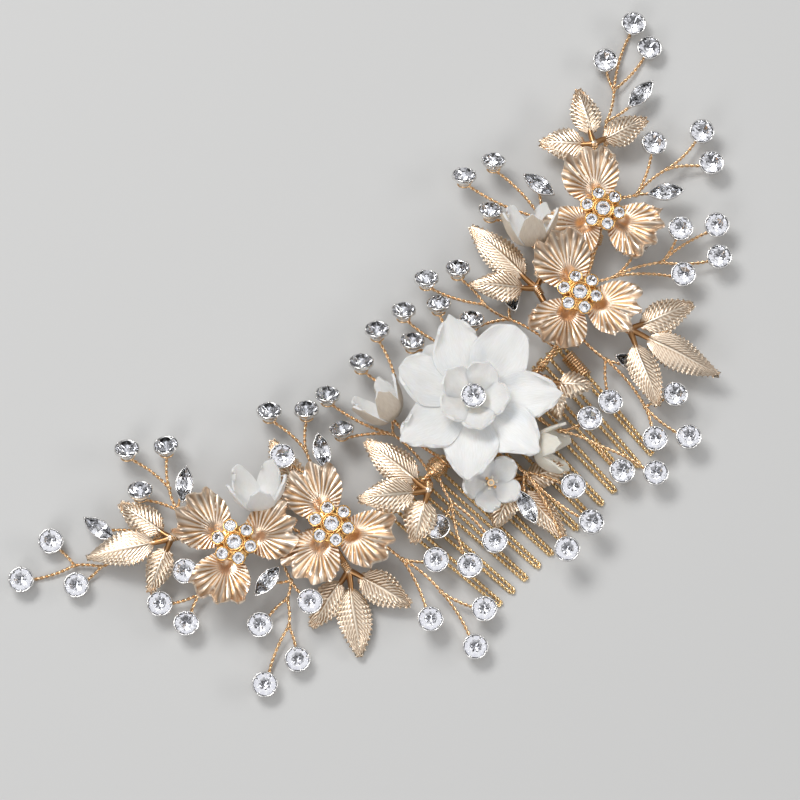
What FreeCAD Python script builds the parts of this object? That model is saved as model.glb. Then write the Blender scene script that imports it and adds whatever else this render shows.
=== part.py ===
import FreeCAD, Part
import math
import os

# Decorative hair comb: a wire comb with a crescent of stamped leaves, flowers and stones.
# Millimetres. +X runs along the comb bar, +Y points away from the teeth, +Z faces outward.
# z = 0 is the surface the comb lies on, and the origin is the middle of the bar on it.

os.makedirs("parts", exist_ok=True)
V = FreeCAD.Vector
UP = V(0, 0, 1)

# ---------------------------------------------------------------- driving dimensions
SEAT_GAP = 0.05          # clearance left wherever one piece seats on another

# Wire comb
TOOTH_COUNT = 13
TOOTH_PITCH = 4.0        # spacing of the teeth along the bar
TIP_PITCH = 3.6          # spacing of the same teeth at their tips
TOOTH_LENGTH = 28.5      # from the bar's axis to the tip
TOOTH_WIRE = 0.8
LEG_SPREAD = 1.8         # between the two legs of one hairpin, at the bar
TIP_SPREAD = 0.9         # between the same legs, at the tip bend
BAR_WIRE = 1.2
BAR_OVERHANG = 0.8       # bar beyond the outermost legs
BAR_HEIGHT = 3.5         # bar axis over the surface it lies on
END_LEG_SPREAD = 1.2     # the last hairpin's legs are pinched together
END_COIL_WIRE = 0.5
END_COIL_PITCH = 0.6
END_COIL_LENGTH = 5.5

# Spine and ties
SPINE_WIRE = 1.2
SPINE_SECTIONS = 40      # short straight lengths that the spine's bends are made of
TIE_WIRE = 0.5
WRAP_WIRE = 0.4
WRAP_PITCH = 0.5

# Stems of the sprays and of the buds
STEM_WIRE = 0.8
STEM_GAP = 0.12          # between a stem's end and the cup it carries
KNOT_DIAMETER = 1.1      # twist knot where a stem forks

# Round stones and their cups
STONE_DIAMETER = 4.6
STONE_CROWN = 0.9
STONE_GIRDLE = 0.15
STONE_PAVILION = 1.6
STONE_TABLE = 0.56       # table width as a part of the stone's width
CUP_WALL = 0.2
STONE_SIDES = 12

# Marquise stones (pointed ovals)
MARQUISE_LENGTH = 7.2
MARQUISE_WIDTH = 3.2
MARQUISE_CROWN = 0.8
MARQUISE_PAVILION = 1.2

# Stamped gold flowers
GOLD_FLOWER_RADIUS = 11.8
GOLD_PETAL_NOTCH = 0.38  # where the cut between two petals ends, as a part of their length
GOLD_PETAL_NARROWING = 3.0
GOLD_PETAL_RISE = 3.2
GOLD_PETAL_THICKNESS = 0.6
CLUSTER_CENTRE_STONE = 3.0
CLUSTER_SIDE_STONE = 2.0
CLUSTER_SIDE_COUNT = 6
CLUSTER_RADIUS = 3.6
CLUSTER_PLATE = 0.6
CLUSTER_CUP_HEIGHT = 1.2
POST_DIAMETER = 2.2
GOLD_PETAL_FRILL = 0.5
FLOWER_STAND = 1.0       # petals over the spine

# White flower in the middle
MAIN_FLOWER_RADIUS = 16.5
MAIN_PETAL_COUNT = 7
MAIN_STAND = 2.2         # petals over the spine
MAIN_PETAL_NOTCH = 0.55
MAIN_PETAL_RISE = 3.6
MAIN_PETAL_THICKNESS = 0.8
MAIN_CUP_RADIUS = 6.5
MAIN_CUP_RISE = 4.5
MAIN_CUP_PETALS = 5
MAIN_STONE_LIFT = 1.0    # post standing between the inner petals and the stone's cup

# White buds
BUD_PETAL_COUNT = 5
BUD_FOOT = 0.8           # radius of the bud's round foot
BUD_THICKNESS = 0.65
BUD_PEG = 1.8            # peg through the bud's foot
BUD_BEAD = 0.7
BUD_BEAD_COUNT = 6

# Cast leaf sprigs
LEAF_WIDTH = 5.0
LEAF_THICKNESS = 0.8
LEAF_ARCH = 0.7
LEAF_RIDGE = 0.5         # rise of the midrib over the edges
LEAF_STALK = 1.1
LEAF_BOSS = 2.4          # boss that the leaves of a sprig spring from

# ---------------------------------------------------------------- layout
# Spine, left to right: x, y and its drop below the stretch over the bar.
SPINE_PATH = [
    (-56.0, 25.0, 1.5), (-50.5, 17.0, 1.0), (-42.5, 10.5, 0.7), (-34.5, 6.0, 0.4),
    (-28.0, 2.6, 0.1), (-23.0, 0.6, 0.0), (-19.0, 0.0, 0.0), (-14.0, 0.0, 0.0), (0.0, 0.0, 0.0),
    (14.0, 0.0, 0.0), (19.0, 0.0, 0.0), (23.0, 0.5, 0.0), (28.0, 2.2, 0.1), (33.5, 4.5, 0.4),
    (41.5, 8.5, 0.7), (49.5, 13.5, 1.0), (57.0, 22.5, 1.5)]

# Where a fine wire is wound round the spine: x at the start and at the end.
SPINE_WRAPS = [(-48.8, -46.8), (-39.5, -38.0), (29.6, 31.0), (44.0, 46.0)]

# How far a stone leans towards the top of the arrangement.
FLAT = 0
LEANING = 38
LEAN_HEADING = 45

# Sprays. First row: where the stem leaves the spine (x, degrees round it from +Y to +Z).
# Then, each with the row it grows from: a fork at x, y, z; a round stone at x, y, z with its
# lean; or a marquise at x, y, z with the heading of its long axis.
SPRAYS = {
    "left_tip": [
        ("root", -54.5, 180),
        ("fork", 0, -60.0, 29.5, 3.0),
        ("fork", 1, -72.5, 33.5, 1.5),
        ("fork", 2, -76.0, 37.5, 1.0),
        ("round", 3, -85.5, 42.5, 2.8, FLAT),
        ("round", 3, -76.0, 44.0, 2.8, FLAT),
        ("round", 2, -78.5, 34.0, 2.8, FLAT),
        ("marquise", 1, -67.5, 39.0, 3.2, 100)],
    "left_upper": [
        ("root", -53.0, 10),
        ("fork", 0, -54.0, 30.5, 3.6),
        ("fork", 1, -52.0, 35.0, 3.2),
        ("round", 2, -52.5, 46.5, 4.5, LEANING),
        ("round", 2, -46.5, 41.5, 4.5, LEANING),
        ("round", 1, -56.5, 38.5, 4.8, LEANING),
        ("marquise", 1, -49.5, 33.0, 5.5, 40)],
    "left_lower": [
        ("root", -52.0, 180),
        ("fork", 0, -57.5, 17.0, 3.4),
        ("round", 1, -61.5, 20.5, 4.5, FLAT),
        ("fork", 1, -62.5, 15.5, 2.6),
        ("round", 3, -69.5, 19.5, 3.5, FLAT),
        ("round", 3, -68.5, 13.0, 3.5, FLAT)],
    "lower_left": [
        ("root", -44.5, 180),
        ("fork", 0, -48.0, 4.5, 3.8),
        ("fork", 1, -51.0, 2.5, 3.2),
        ("round", 2, -58.5, 2.5, 3.8, FLAT),
        ("fork", 2, -54.5, -1.5, 2.2),
        ("round", 4, -66.0, -6.5, 2.8, FLAT),
        ("round", 4, -58.0, -7.5, 2.8, FLAT),
        ("round", 1, -48.5, -1.5, 6.2, FLAT),
        ("marquise", 1, -51.5, 7.5, 5.0, 6)],
    "upper_left": [
        ("root", -33.0, 0),
        ("fork", 0, -29.5, 14.0, 4.5),
        ("fork", 1, -27.5, 21.0, 4.0),
        ("round", 2, -27.0, 32.0, 4.5, LEANING),
        ("round", 2, -21.5, 27.0, 4.5, LEANING),
        ("marquise", 1, -25.5, 18.5, 5.6, 57),
        ("round", 1, -32.0, 23.0, 7.4, FLAT)],
    "upper_middle": [
        ("root", -13.5, 20),
        ("fork", 0, -13.0, 11.0, 5.0),
        ("round", 1, -16.5, 26.0, 5.5, LEANING),
        ("round", 1, -19.5, 19.0, 5.5, LEANING),
        ("fork", 1, -6.0, 16.5, 4.4),
        ("round", 4, 0.0, 28.5, 5.5, LEANING),
        ("round", 4, -7.0, 26.0, 5.5, LEANING)],
    "crown": [
        ("root", 7.5, 0),
        ("fork", 0, 7.5, 16.0, 5.4),
        ("round", 1, 6.5, 27.5, 6.0, LEANING),
        ("round", 1, 12.5, 23.5, 6.0, LEANING),
        ("round", 1, 3.0, 21.5, 7.2, LEANING)],
    "upper_right": [
        ("root", 22.5, 0),
        ("fork", 0, 21.0, 11.5, 2.8),
        ("fork", 1, 19.0, 17.0, 5.2),
        ("round", 2, 20.5, 26.0, 6.0, LEANING),
        ("round", 2, 14.5, 29.0, 6.0, LEANING),
        ("round", 1, 15.0, 16.5, 5.8, LEANING),
        ("marquise", 1, 24.5, 15.0, 3.8, 60)],
    "right_upper": [
        ("root", 39.5, 0),
        ("fork", 0, 40.5, 22.0, 3.6),
        ("round", 1, 35.5, 39.0, 5.5, LEANING),
        ("round", 1, 42.0, 37.0, 5.5, LEANING),
        ("round", 1, 34.0, 30.0, 5.5, LEANING),
        ("marquise", 1, 45.0, 27.0, 5.0, 100)],
    "right_tip": [
        ("root", 55.0, 180),
        ("fork", 0, 61.0, 23.5, 3.6),
        ("fork", 1, 65.0, 27.0, 3.2),
        ("fork", 2, 71.5, 31.0, 1.6),
        ("round", 3, 84.5, 38.0, 2.8, FLAT),
        ("round", 3, 83.0, 32.0, 2.8, FLAT),
        ("round", 3, 74.5, 36.5, 3.0, FLAT),
        ("marquise", 2, 74.0, 26.0, 4.0, 3)],
    "right_lower": [
        ("root", 52.0, 180),
        ("fork", 0, 57.5, 11.5, 4.4),
        ("fork", 1, 66.5, 11.0, 3.4),
        ("round", 2, 77.0, 11.5, 4.2, FLAT),
        ("round", 2, 73.5, 5.5, 4.2, FLAT),
        ("round", 1, 68.0, 16.5, 5.2, FLAT),
        ("marquise", 1, 62.0, 7.5, 5.6, -38)],
    "lower_right": [
        ("root", 37.0, 180),
        ("fork", 0, 42.0, 2.5, 4.8),
        ("fork", 1, 51.0, -2.0, 4.0),
        ("round", 2, 58.5, 0.0, 5.6, FLAT),
        ("round", 2, 64.5, -4.5, 4.6, FLAT),
        ("round", 2, 60.0, -9.5, 4.6, FLAT),
        ("round", 1, 52.0, -7.0, 5.2, FLAT),
        ("marquise", 1, 50.0, 3.5, 5.6, -8)],
    "below_right_flower": [
        ("root", 28.0, 180),
        ("fork", 0, 28.5, -8.0, 3.4),
        ("fork", 1, 27.0, -20.5, 3.4),
        ("round", 1, 22.5, -15.0, 5.2, FLAT),
        ("round", 2, 23.5, -26.5, 4.6, FLAT),
        ("round", 2, 28.5, -31.0, 4.6, FLAT),
        ("round", 2, 33.0, -23.0, 4.2, FLAT),
        ("marquise", 1, 31.5, -12.5, 4.6, -70)],
    "below_centre": [
        ("root", 9.0, 180),
        ("fork", 0, 11.0, -12.0, 5.0),
        ("fork", 1, 14.5, -19.5, 4.2),
        ("round", 2, 14.0, -26.5, 4.8, FLAT),
        ("round", 2, 18.5, -31.5, 4.8, FLAT),
        ("round", 1, 17.0, -14.5, 5.6, FLAT)],
    "below_buds": [
        ("root", -0.5, 180),
        ("fork", 0, 0.0, -13.0, 5.4),
        ("round", 1, 4.5, -22.0, 7.0, FLAT),
        ("round", 1, 2.0, -29.5, 6.5, FLAT),
        ("round", 1, -5.5, -30.0, 7.2, FLAT),
        ("marquise", 1, -5.0, -18.5, 7.2, -108)],
    "below_middle_left": [
        ("root", -12.5, 180),
        ("fork", 0, -14.5, -7.0, 4.8),
        ("round", 1, -14.0, -18.5, 5.0, FLAT),
        ("round", 1, -21.0, -18.5, 5.0, FLAT),
        ("round", 1, -20.0, -8.5, 5.2, FLAT)],
    "below_left_sprig": [
        ("root", -29.0, 180),
        ("fork", 0, -29.5, -8.0, 4.2),
        ("fork", 1, -28.5, -18.0, 3.0),
        ("round", 1, -25.0, -13.0, 5.2, FLAT),
        ("round", 1, -34.0, -20.5, 4.4, FLAT),
        ("round", 2, -25.0, -26.5, 3.8, FLAT),
        ("round", 2, -31.5, -30.5, 3.2, FLAT)],
}

# Gold flowers: centre x, y and the heading of the first petal.
GOLD_FLOWERS = {
    "gold_flower_1": (-51.0, 17.0, 90),
    "gold_flower_2": (-35.0, 6.0, 70),
    "gold_flower_3": (33.5, 4.5, 88),
    "gold_flower_4": (49.5, 13.5, 55),
}

MAIN_FLOWER = (2.5, 4.0)
MAIN_FLOWER_HEADING = 61

# White buds: foot x, y, z; heading and rise of the axis; radius; height; where its stem
# leaves the spine (x, degrees round it).
BUDS = {
    "white_bud_1": ((-41.7, 19.3, 7.6), 55, 45, 5.0, 6.0, (-40.6, 30)),
    "white_bud_2": ((-11.0, 13.5, 6.6), 85, 25, 4.4, 6.5, (-10.0, 20)),
    "white_bud_3": ((34.5, 19.0, 7.4), 50, 30, 4.8, 6.5, (36.5, 30)),
    "white_bud_4": ((5.0, -11.5, 6.4), -50, 15, 4.1, 5.5, (4.0, 180)),
    "white_bud_5": ((-6.5, -9.8, 5.8), -100, 80, 4.8, 3.4, (-7.5, 180)),
}

# Leaf sprigs: where the stalk leaves the spine (x, degrees round it), the point the leaves
# spring from, then each leaf's tip and width factor.
SPRIGS = {
    "leaf_sprig_1": ((-55.7, 60), (-59.0, 27.0, 5.8), [
        ((-61.0, 39.5, 4.0), 0.9), ((-73.5, 36.0, 4.4), 1.0), ((-69.5, 22.5, 4.4), 0.8)]),
    "leaf_sprig_2": ((-14.8, 150), (-16.5, -2.4, 7.6), [
        ((-18.0, 13.5, 7.2), 1.0), ((-28.0, 5.5, 9.8), 1.0), ((-26.0, -7.5, 6.5), 1.0)]),
    "leaf_sprig_3": ((-36.5, 180), (-38.5, -2.0, 3.2), [
        ((-51.5, -4.5, 1.6), 0.9), ((-34.5, -15.5, 3.0), 1.0), ((-49.0, -15.5, 1.6), 1.0)]),
    "leaf_sprig_4": ((26.5, 0), (29.0, 12.0, 4.8), [
        ((29.0, 30.5, 4.6), 1.0), ((19.5, 21.5, 6.8), 0.9), ((37.5, 15.0, 4.2), 0.7)]),
    "leaf_sprig_5": ((56.5, 60), (59.0, 25.0, 5.6), [
        ((65.5, 35.5, 4.8), 0.9), ((51.5, 33.0, 4.5), 1.0), ((70.5, 21.0, 5.0), 0.9)]),
    "leaf_sprig_6": ((32.3, 180), (35.5, -7.5, 6.6), [
        ((48.5, -13.0, 6.0), 1.0), ((42.0, -26.5, 5.5), 1.0), ((28.0, -22.5, 7.0), 0.9)]),
    "leaf_sprig_7": ((16.0, 180), (16.5, -4.0, 6.8), [
        ((21.5, -10.5, 7.2), 0.8), ((12.5, -11.0, 6.8), 0.6)]),
    "leaf_sprig_8": ((-3.0, 180), (-2.5, -12.5, 3.9), [
        ((7.0, -18.5, 3.6), 0.8), ((-12.0, -17.0, 3.6), 0.8), ((-3.5, -27.5, 3.0), 0.8)]),
    "leaf_sprig_9": ((-36.5, 0), (-35.5, 12.5, 3.6), [
        ((-30.5, 27.5, 2.8), 0.9), ((-42.0, 25.0, 3.2), 0.6)]),
}

# ---------------------------------------------------------------- derived fits
COMB_HALF = TOOTH_PITCH * (TOOTH_COUNT - 1) / 2
MAX_SWING = math.atan2((TOOTH_PITCH - TIP_PITCH) * (TOOTH_COUNT - 1) / 2, TOOTH_LENGTH)
HOOK_PLAY = LEG_SPREAD / 2 * math.sin(abs(MAX_SWING))    # room for a swung hook round the bar
HOOK_RADIUS = BAR_WIRE / 2 + TOOTH_WIRE / 2 + SEAT_GAP + HOOK_PLAY
SPINE_HEIGHT = BAR_HEIGHT + HOOK_RADIUS + TOOTH_WIRE / 2 + SEAT_GAP + SPINE_WIRE / 2
STONE_BACK = STONE_PAVILION + SEAT_GAP + CUP_WALL
MARQUISE_BACK = MARQUISE_PAVILION + SEAT_GAP + CUP_WALL
POST_HOLE = POST_DIAMETER / 2 + SEAT_GAP


# ---------------------------------------------------------------- helpers
def save(name, solids):
    """Write one node: a single solid, or a group of separate solids."""
    shape = solids[0] if len(solids) == 1 else Part.makeCompound(solids)
    shape.exportStep("parts/" + name + ".step")


def heading(degrees, rise=0.0):
    """Unit vector at a heading round +Z, raised above the horizontal."""
    flat = math.cos(math.radians(rise))
    return V(math.cos(math.radians(degrees)) * flat, math.sin(math.radians(degrees)) * flat,
             math.sin(math.radians(rise)))


def fused(shapes):
    """Join overlapping shapes into one solid."""
    joined = shapes[0]
    for shape in shapes[1:]:
        joined = joined.fuse(shape)
    return joined.Solids[0] if len(joined.Solids) == 1 else joined


def knot(centre, diameter, neighbours):
    """Ball where wires meet, with its seam turned into the widest space between them."""
    turns = sorted(math.degrees(math.atan2(p.y - centre.y, p.x - centre.x)) for p in neighbours)
    spaces = [(after - before, before) for before, after in zip(turns, turns[1:] + [turns[0] + 360])]
    widest, before = max(spaces)
    ball = Part.makeSphere(diameter / 2)
    ball.Placement = FreeCAD.Placement(centre, FreeCAD.Rotation(UP, before + widest / 2))
    return ball


def outward(solid):
    """Turn a solid's skin the right way out."""
    if solid.Volume < 0:
        solid.reverse()
    return solid


def strand(start, end, diameter):
    """Straight length of round wire."""
    return Part.makeCylinder(diameter / 2, (end - start).Length, start, end - start)


def coil(start, axis, radius, pitch, length, diameter):
    """Helical winding of round wire along an axis."""
    helix = Part.makeHelix(pitch, length, radius)
    first = V(radius, 0, 0)
    ring = Part.Wire(Part.makeCircle(diameter / 2, first, V(0, 2 * math.pi * radius, pitch)))
    wound = outward(Part.Wire(helix.Edges).makePipeShell([ring], True, True))
    turn = FreeCAD.Rotation(UP, axis)
    wound.Placement = FreeCAD.Placement(start, turn)
    return wound


def skin(grid):
    """Smooth surface through a grid of points."""
    surface = Part.BSplineSurface()
    surface.interpolate(grid)
    return surface


def borders(surface):
    u0, u1, v0, v1 = surface.bounds()
    return [surface.uIso(u0).toShape(), surface.uIso(u1).toShape(),
            surface.vIso(v0).toShape(), surface.vIso(v1).toShape()]


def sewn(faces):
    """Solid closed by a set of faces."""
    group = Part.makeCompound(faces)
    group.sewShape(0.001)
    return outward(Part.Solid(group.Shells[0]))


def corolla(petals, phase, hole, belly, radius, notch, rise, thickness, narrowing=1.0, frill=0.0):
    """One-piece ring of petals round a hole; it leaves the hole flat and rises past `belly`."""
    def pair(angle, along, lift):
        r = hole * (1 - along) ** 2 + 2 * belly * along * (1 - along) + radius * along ** 2
        run = 2 * ((belly - hole) * (1 - along) + (radius - belly) * along)
        climb = 2 * rise * along
        scale = thickness / math.hypot(run, climb)
        low = V(r * math.cos(angle), r * math.sin(angle), rise * along ** 2 + lift)
        shift = V(-climb * math.cos(angle), -climb * math.sin(angle), run) * scale
        return low, low + shift

    step = 2 * math.pi / petals
    columns, rows = 11, 8
    faces = []
    for petal in range(petals):
        lower, upper = [], []
        for column in range(columns):
            across = 2.0 * column / (columns - 1) - 1
            angle = math.radians(phase) + (petal + across / 2) * step
            reach = notch + (1 - notch) * math.cos(math.pi / 2 * across) ** narrowing
            low_line, top_line = [], []
            for row in range(rows):
                out = row / (rows - 1)
                lift = frill * math.sin(3 * math.pi * across) * (reach * out) ** 2
                low, top = pair(angle, reach * out, lift)
                low_line.append(low)
                top_line.append(top)
            lower.append(low_line)
            upper.append(top_line)
        under, over = skin(lower), skin(upper)
        under_edges, over_edges = borders(under), borders(over)
        faces.append(under.toShape())
        faces.append(over.toShape())
        faces.append(Part.makeRuledSurface(under_edges[2], over_edges[2]))
        faces.append(Part.makeRuledSurface(under_edges[3], over_edges[3]))
    return sewn(faces)


def climb_at(reached, hole, belly, radius, rise, frill):
    """How high a corolla's underside has risen where it reaches a given radius."""
    along = 0.0
    while hole * (1 - along) ** 2 + 2 * belly * along * (1 - along) + radius * along ** 2 < reached:
        along += 0.005
    return (rise + frill) * along ** 2


def leaf(base, tip, width):
    """One cast leaf: an arched blade, widest past its middle, with a raised midrib."""
    span = tip - base
    side = UP.cross(span)
    side.normalize()
    rows, columns = 9, 7
    lower, upper = [], []
    for row in range(rows):
        along = row / (rows - 1)
        half = width / 2 * (0.16 + 0.84 * math.sin(math.pi * along ** 0.85) ** 0.8) * (1 - 0.1 * along)
        low_line, top_line = [], []
        for column in range(columns):
            across = 2.0 * column / (columns - 1) - 1
            lift = LEAF_ARCH * math.sin(math.pi * along) - LEAF_THICKNESS / 2
            lift -= LEAF_RIDGE * abs(across) ** 1.5
            point = base + span * along + side * (half * across) + UP * lift
            low_line.append(point)
            top_line.append(point + UP * (LEAF_THICKNESS * (1 - 0.3 * across ** 2)))
        lower.append(low_line)
        upper.append(top_line)
    under, over = skin(lower), skin(upper)
    faces = [under.toShape(), over.toShape()]
    for low_edge, top_edge in zip(borders(under), borders(over)):
        faces.append(Part.makeRuledSurface(low_edge, top_edge))
    return sewn(faces)


def polygon(outline, scale, z):
    points = [V(x * scale, y * scale, z) for x, y in outline]
    return Part.makePolygon(points + [points[0]])


def cut_stone(outline, table, crown, girdle, pavilion):
    """Faceted stone: flat table, crown, girdle (at z = 0 and above) and pointed back."""
    rings = [polygon(outline, 0.06, -pavilion), polygon(outline, 1.0, 0.0),
             polygon(outline, 1.0, girdle), polygon(outline, table, girdle + crown)]
    return Part.makeLoft(rings, True, True)


def cup(outline, width, wall, depth, girdle):
    """Open setting round a stone with the same outline, one clearance away from it."""
    inner = (width / 2 + SEAT_GAP) / (width / 2)
    outer = (width / 2 + SEAT_GAP + wall) / (width / 2)
    body = Part.makeLoft([polygon(outline, outer * 0.45, -depth - SEAT_GAP - wall),
                          polygon(outline, outer, -0.3 * depth), polygon(outline, outer, girdle)],
                         True, True)
    room = Part.makeLoft([polygon(outline, 0.06 * inner, -depth - SEAT_GAP),
                          polygon(outline, inner, -SEAT_GAP * 0.5),
                          polygon(outline, inner, girdle + 1.0)], True, True)
    return body.cut(room).Solids[0]


def round_outline(diameter, sides):
    return [(diameter / 2 * math.cos(2 * math.pi * k / sides),
             diameter / 2 * math.sin(2 * math.pi * k / sides)) for k in range(sides)]


def marquise_outline(length, width):
    """Pointed oval with its long axis on +X."""
    half, steps = length / 2, 6
    rim = []
    for k in range(steps):
        x = half * math.cos(math.pi * k / steps)
        rim.append((x, width / 2 * (1 - (x / half) ** 2)))
    for k in range(steps):
        x = -half * math.cos(math.pi * k / steps)
        rim.append((x, -width / 2 * (1 - (x / half) ** 2)))
    return rim


def placed(shape, centre, turn, lean=0):
    """Copy turned about +Z, then leaned towards the top of the arrangement, then moved."""
    over = FreeCAD.Rotation(heading(LEAN_HEADING + 90), lean)
    copy = shape.copy()
    copy.Placement = FreeCAD.Placement(centre, over.multiply(FreeCAD.Rotation(UP, turn)))
    return copy


# ---------------------------------------------------------------- spine
spine_curve = Part.BSplineCurve()
spine_curve.interpolate([V(x, y, SPINE_HEIGHT - drop) for x, y, drop in SPINE_PATH])


def spine_at(x):
    """Point on the spine's axis and the direction along it, at a given x."""
    low, high = spine_curve.FirstParameter, spine_curve.LastParameter
    for _ in range(40):
        middle = (low + high) / 2
        if spine_curve.value(middle).x < x:
            low = middle
        else:
            high = middle
    along = V(*spine_curve.tangent(low)[0])
    return spine_curve.value(low), along


def beside_spine(x, around, diameter, toward):
    """Start of a wire that leaves the spine's surface, turned round it from +Y towards +Z."""
    centre, along = spine_at(x)
    side = UP.cross(along)
    side.normalize()
    out = side * math.cos(math.radians(around)) + UP * math.sin(math.radians(around))
    leaving = toward - centre
    leaving.normalize()
    spread = math.sqrt(max(0.0, 1 - leaving.dot(out) ** 2))
    return centre + out * (SPINE_WIRE / 2 + SEAT_GAP + diameter / 2 * spread)


def spine_section(x):
    centre, along = spine_at(x)
    side = UP.cross(along)
    side.normalize()
    ring = Part.Wire(Part.makeCircle(SPINE_WIRE / 2))
    ring.Placement = FreeCAD.Placement(centre, FreeCAD.Rotation(side, along.cross(side), along, "ZXY"))
    return ring


spine_length = SPINE_PATH[-1][0] - SPINE_PATH[0][0]
spine_marks = [SPINE_PATH[0][0] + spine_length * k / SPINE_SECTIONS for k in range(SPINE_SECTIONS + 1)]
save("spine_wire", [outward(Part.makeLoft([spine_section(x) for x in spine_marks], True, True))])

wraps = []
for first_x, last_x in SPINE_WRAPS:
    first, last = spine_at(first_x)[0], spine_at(last_x)[0]
    sag = (spine_at((first_x + last_x) / 2)[0] - (first + last) * 0.5).Length
    wrap_radius = SPINE_WIRE / 2 + WRAP_WIRE / 2 + SEAT_GAP + sag
    wraps.append(coil(first, last - first, wrap_radius, WRAP_PITCH, (last - first).Length, WRAP_WIRE))
save("spine_wraps", wraps)

# ---------------------------------------------------------------- wire comb
bar_length = 2 * COMB_HALF + LEG_SPREAD + TOOTH_WIRE + 2 * BAR_OVERHANG
bar_start = V(-bar_length / 2, 0, BAR_HEIGHT)
save("comb_bar", [Part.makeCylinder(BAR_WIRE / 2, bar_length, bar_start, V(1, 0, 0))])

# A tooth slopes from the bar down to its tip, which lies on the surface.
tooth_slope = math.asin((BAR_HEIGHT - HOOK_RADIUS - TOOTH_WIRE / 2) / TOOTH_LENGTH)


def tooth(spread):
    """Hairpin along -Y from a bar along X at the origin: two legs, a tip bend and two hooks."""
    over_bar = FreeCAD.Rotation(V(0, 0, -1), V(0, 1, 0), V(1, 0, 0), "ZXY")
    half, tip_half = spread / 2, TIP_SPREAD / 2
    reach = TOOTH_LENGTH - tip_half - TOOTH_WIRE / 2
    pieces = []
    for sign in (-1, 1):
        top, low = V(sign * half, 0, -HOOK_RADIUS), V(sign * tip_half, -reach, -HOOK_RADIUS)
        pieces.append(Part.makeCylinder(TOOTH_WIRE / 2, (low - top).Length, top, low - top))
        pieces.append(Part.makeSphere(TOOTH_WIRE * 0.52, top))
        pieces.append(Part.makeSphere(TOOTH_WIRE * 0.52, low))
        hook = Part.makeTorus(HOOK_RADIUS, TOOTH_WIRE / 2, V(0, 0, 0), UP, -180, 180, 180)
        hook.Placement = FreeCAD.Placement(V(sign * half, 0, 0), over_bar)
        pieces.append(hook)
    bend = Part.makeTorus(tip_half, TOOTH_WIRE / 2, V(0, 0, 0), UP, -180, 180, 180)
    bend.rotate(V(0, 0, 0), UP, 180)
    bend.translate(V(0, -reach, -HOOK_RADIUS))
    pieces.append(bend)
    return fused(pieces)


def set_on_bar(shape, base_x, tip_x):
    """Slope a tooth down about the bar and swing it so that its tip lands at tip_x."""
    slope = FreeCAD.Rotation(V(1, 0, 0), math.degrees(tooth_slope))
    swing = math.degrees(math.atan2(tip_x - base_x, TOOTH_LENGTH))
    copy = shape.copy()
    carrier = FreeCAD.Placement(V(base_x, 0, BAR_HEIGHT), FreeCAD.Rotation(UP, swing).multiply(slope))
    copy.Placement = carrier.multiply(copy.Placement)
    return copy


plain_tooth, end_tooth = tooth(LEG_SPREAD), tooth(END_LEG_SPREAD)
teeth = []
for index in range(TOOTH_COUNT):
    from_middle = index - (TOOTH_COUNT - 1) / 2
    blank = end_tooth if index == TOOTH_COUNT - 1 else plain_tooth
    teeth.append(set_on_bar(blank, from_middle * TOOTH_PITCH, from_middle * TIP_PITCH))
save("comb_teeth", teeth)

coil_radius = END_LEG_SPREAD / 2 + TOOTH_WIRE / 2 + SEAT_GAP + END_COIL_WIRE / 2
coil_start = V(0, -BAR_WIRE / 2 - TOOTH_WIRE - END_COIL_WIRE, -HOOK_RADIUS)
end_coil = coil(coil_start, V(0, -1, 0), coil_radius, END_COIL_PITCH, END_COIL_LENGTH, END_COIL_WIRE)
save("comb_end_coil", [set_on_bar(end_coil, COMB_HALF, TIP_PITCH * (TOOTH_COUNT - 1) / 2)])

# Ties: oblong loops round the bar and the spine together, between the hooks of the teeth.
tie_radius = max(BAR_WIRE, SPINE_WIRE) / 2 + TIE_WIRE / 2 + SEAT_GAP
tie_height = SPINE_HEIGHT - BAR_HEIGHT


def tie(x):
    pieces = []
    for sign in (-1, 1):
        low, top = V(x, sign * tie_radius, BAR_HEIGHT), V(x, sign * tie_radius, SPINE_HEIGHT)
        pieces.append(Part.makeCylinder(TIE_WIRE / 2, tie_height, low, UP))
        turn = FreeCAD.Rotation(V(0, 1, 0), V(0, 0, sign), V(sign, 0, 0), "ZXY")
        end = Part.makeTorus(tie_radius, TIE_WIRE / 2, V(0, 0, 0), UP, -180, 180, 180)
        end.Placement = FreeCAD.Placement(V(x, 0, SPINE_HEIGHT if sign > 0 else BAR_HEIGHT), turn)
        pieces.append(end)
    return fused(pieces)


tie_gaps = range(1, TOOTH_COUNT - 1, 3)
save("stem_ties", [tie((gap + 0.5 - (TOOTH_COUNT - 1) / 2) * TOOTH_PITCH) for gap in tie_gaps])

# ---------------------------------------------------------------- sprays of stones
stone_rim = round_outline(STONE_DIAMETER, STONE_SIDES)
stone_blank = cut_stone(stone_rim, STONE_TABLE, STONE_CROWN, STONE_GIRDLE, STONE_PAVILION)
stone_cup = cup(stone_rim, STONE_DIAMETER, CUP_WALL, STONE_PAVILION, STONE_GIRDLE)
marquise_rim = marquise_outline(MARQUISE_LENGTH, MARQUISE_WIDTH)
marquise_blank = cut_stone(marquise_rim, STONE_TABLE, MARQUISE_CROWN, STONE_GIRDLE, MARQUISE_PAVILION)
marquise_cup = cup(marquise_rim, MARQUISE_WIDTH, CUP_WALL, MARQUISE_PAVILION, STONE_GIRDLE)

gems = {kind: {side: [] for side in ("left", "middle", "right")}
        for kind in ("round_stones", "round_cups", "marquise_stones", "marquise_cups")}


def wire_end(start, centre, normal, back, inset):
    """End of a stem behind a cup, drawn back from the cup's middle towards where it comes from."""
    under = centre - normal * (back + STEM_WIRE / 2 + STEM_GAP)
    inward = start - under
    inward = inward - normal * inward.dot(normal)
    inward.normalize()
    return under + inward * inset


def side_of(x):
    return "left" if x < -COMB_HALF else "right" if x > COMB_HALF else "middle"


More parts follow.
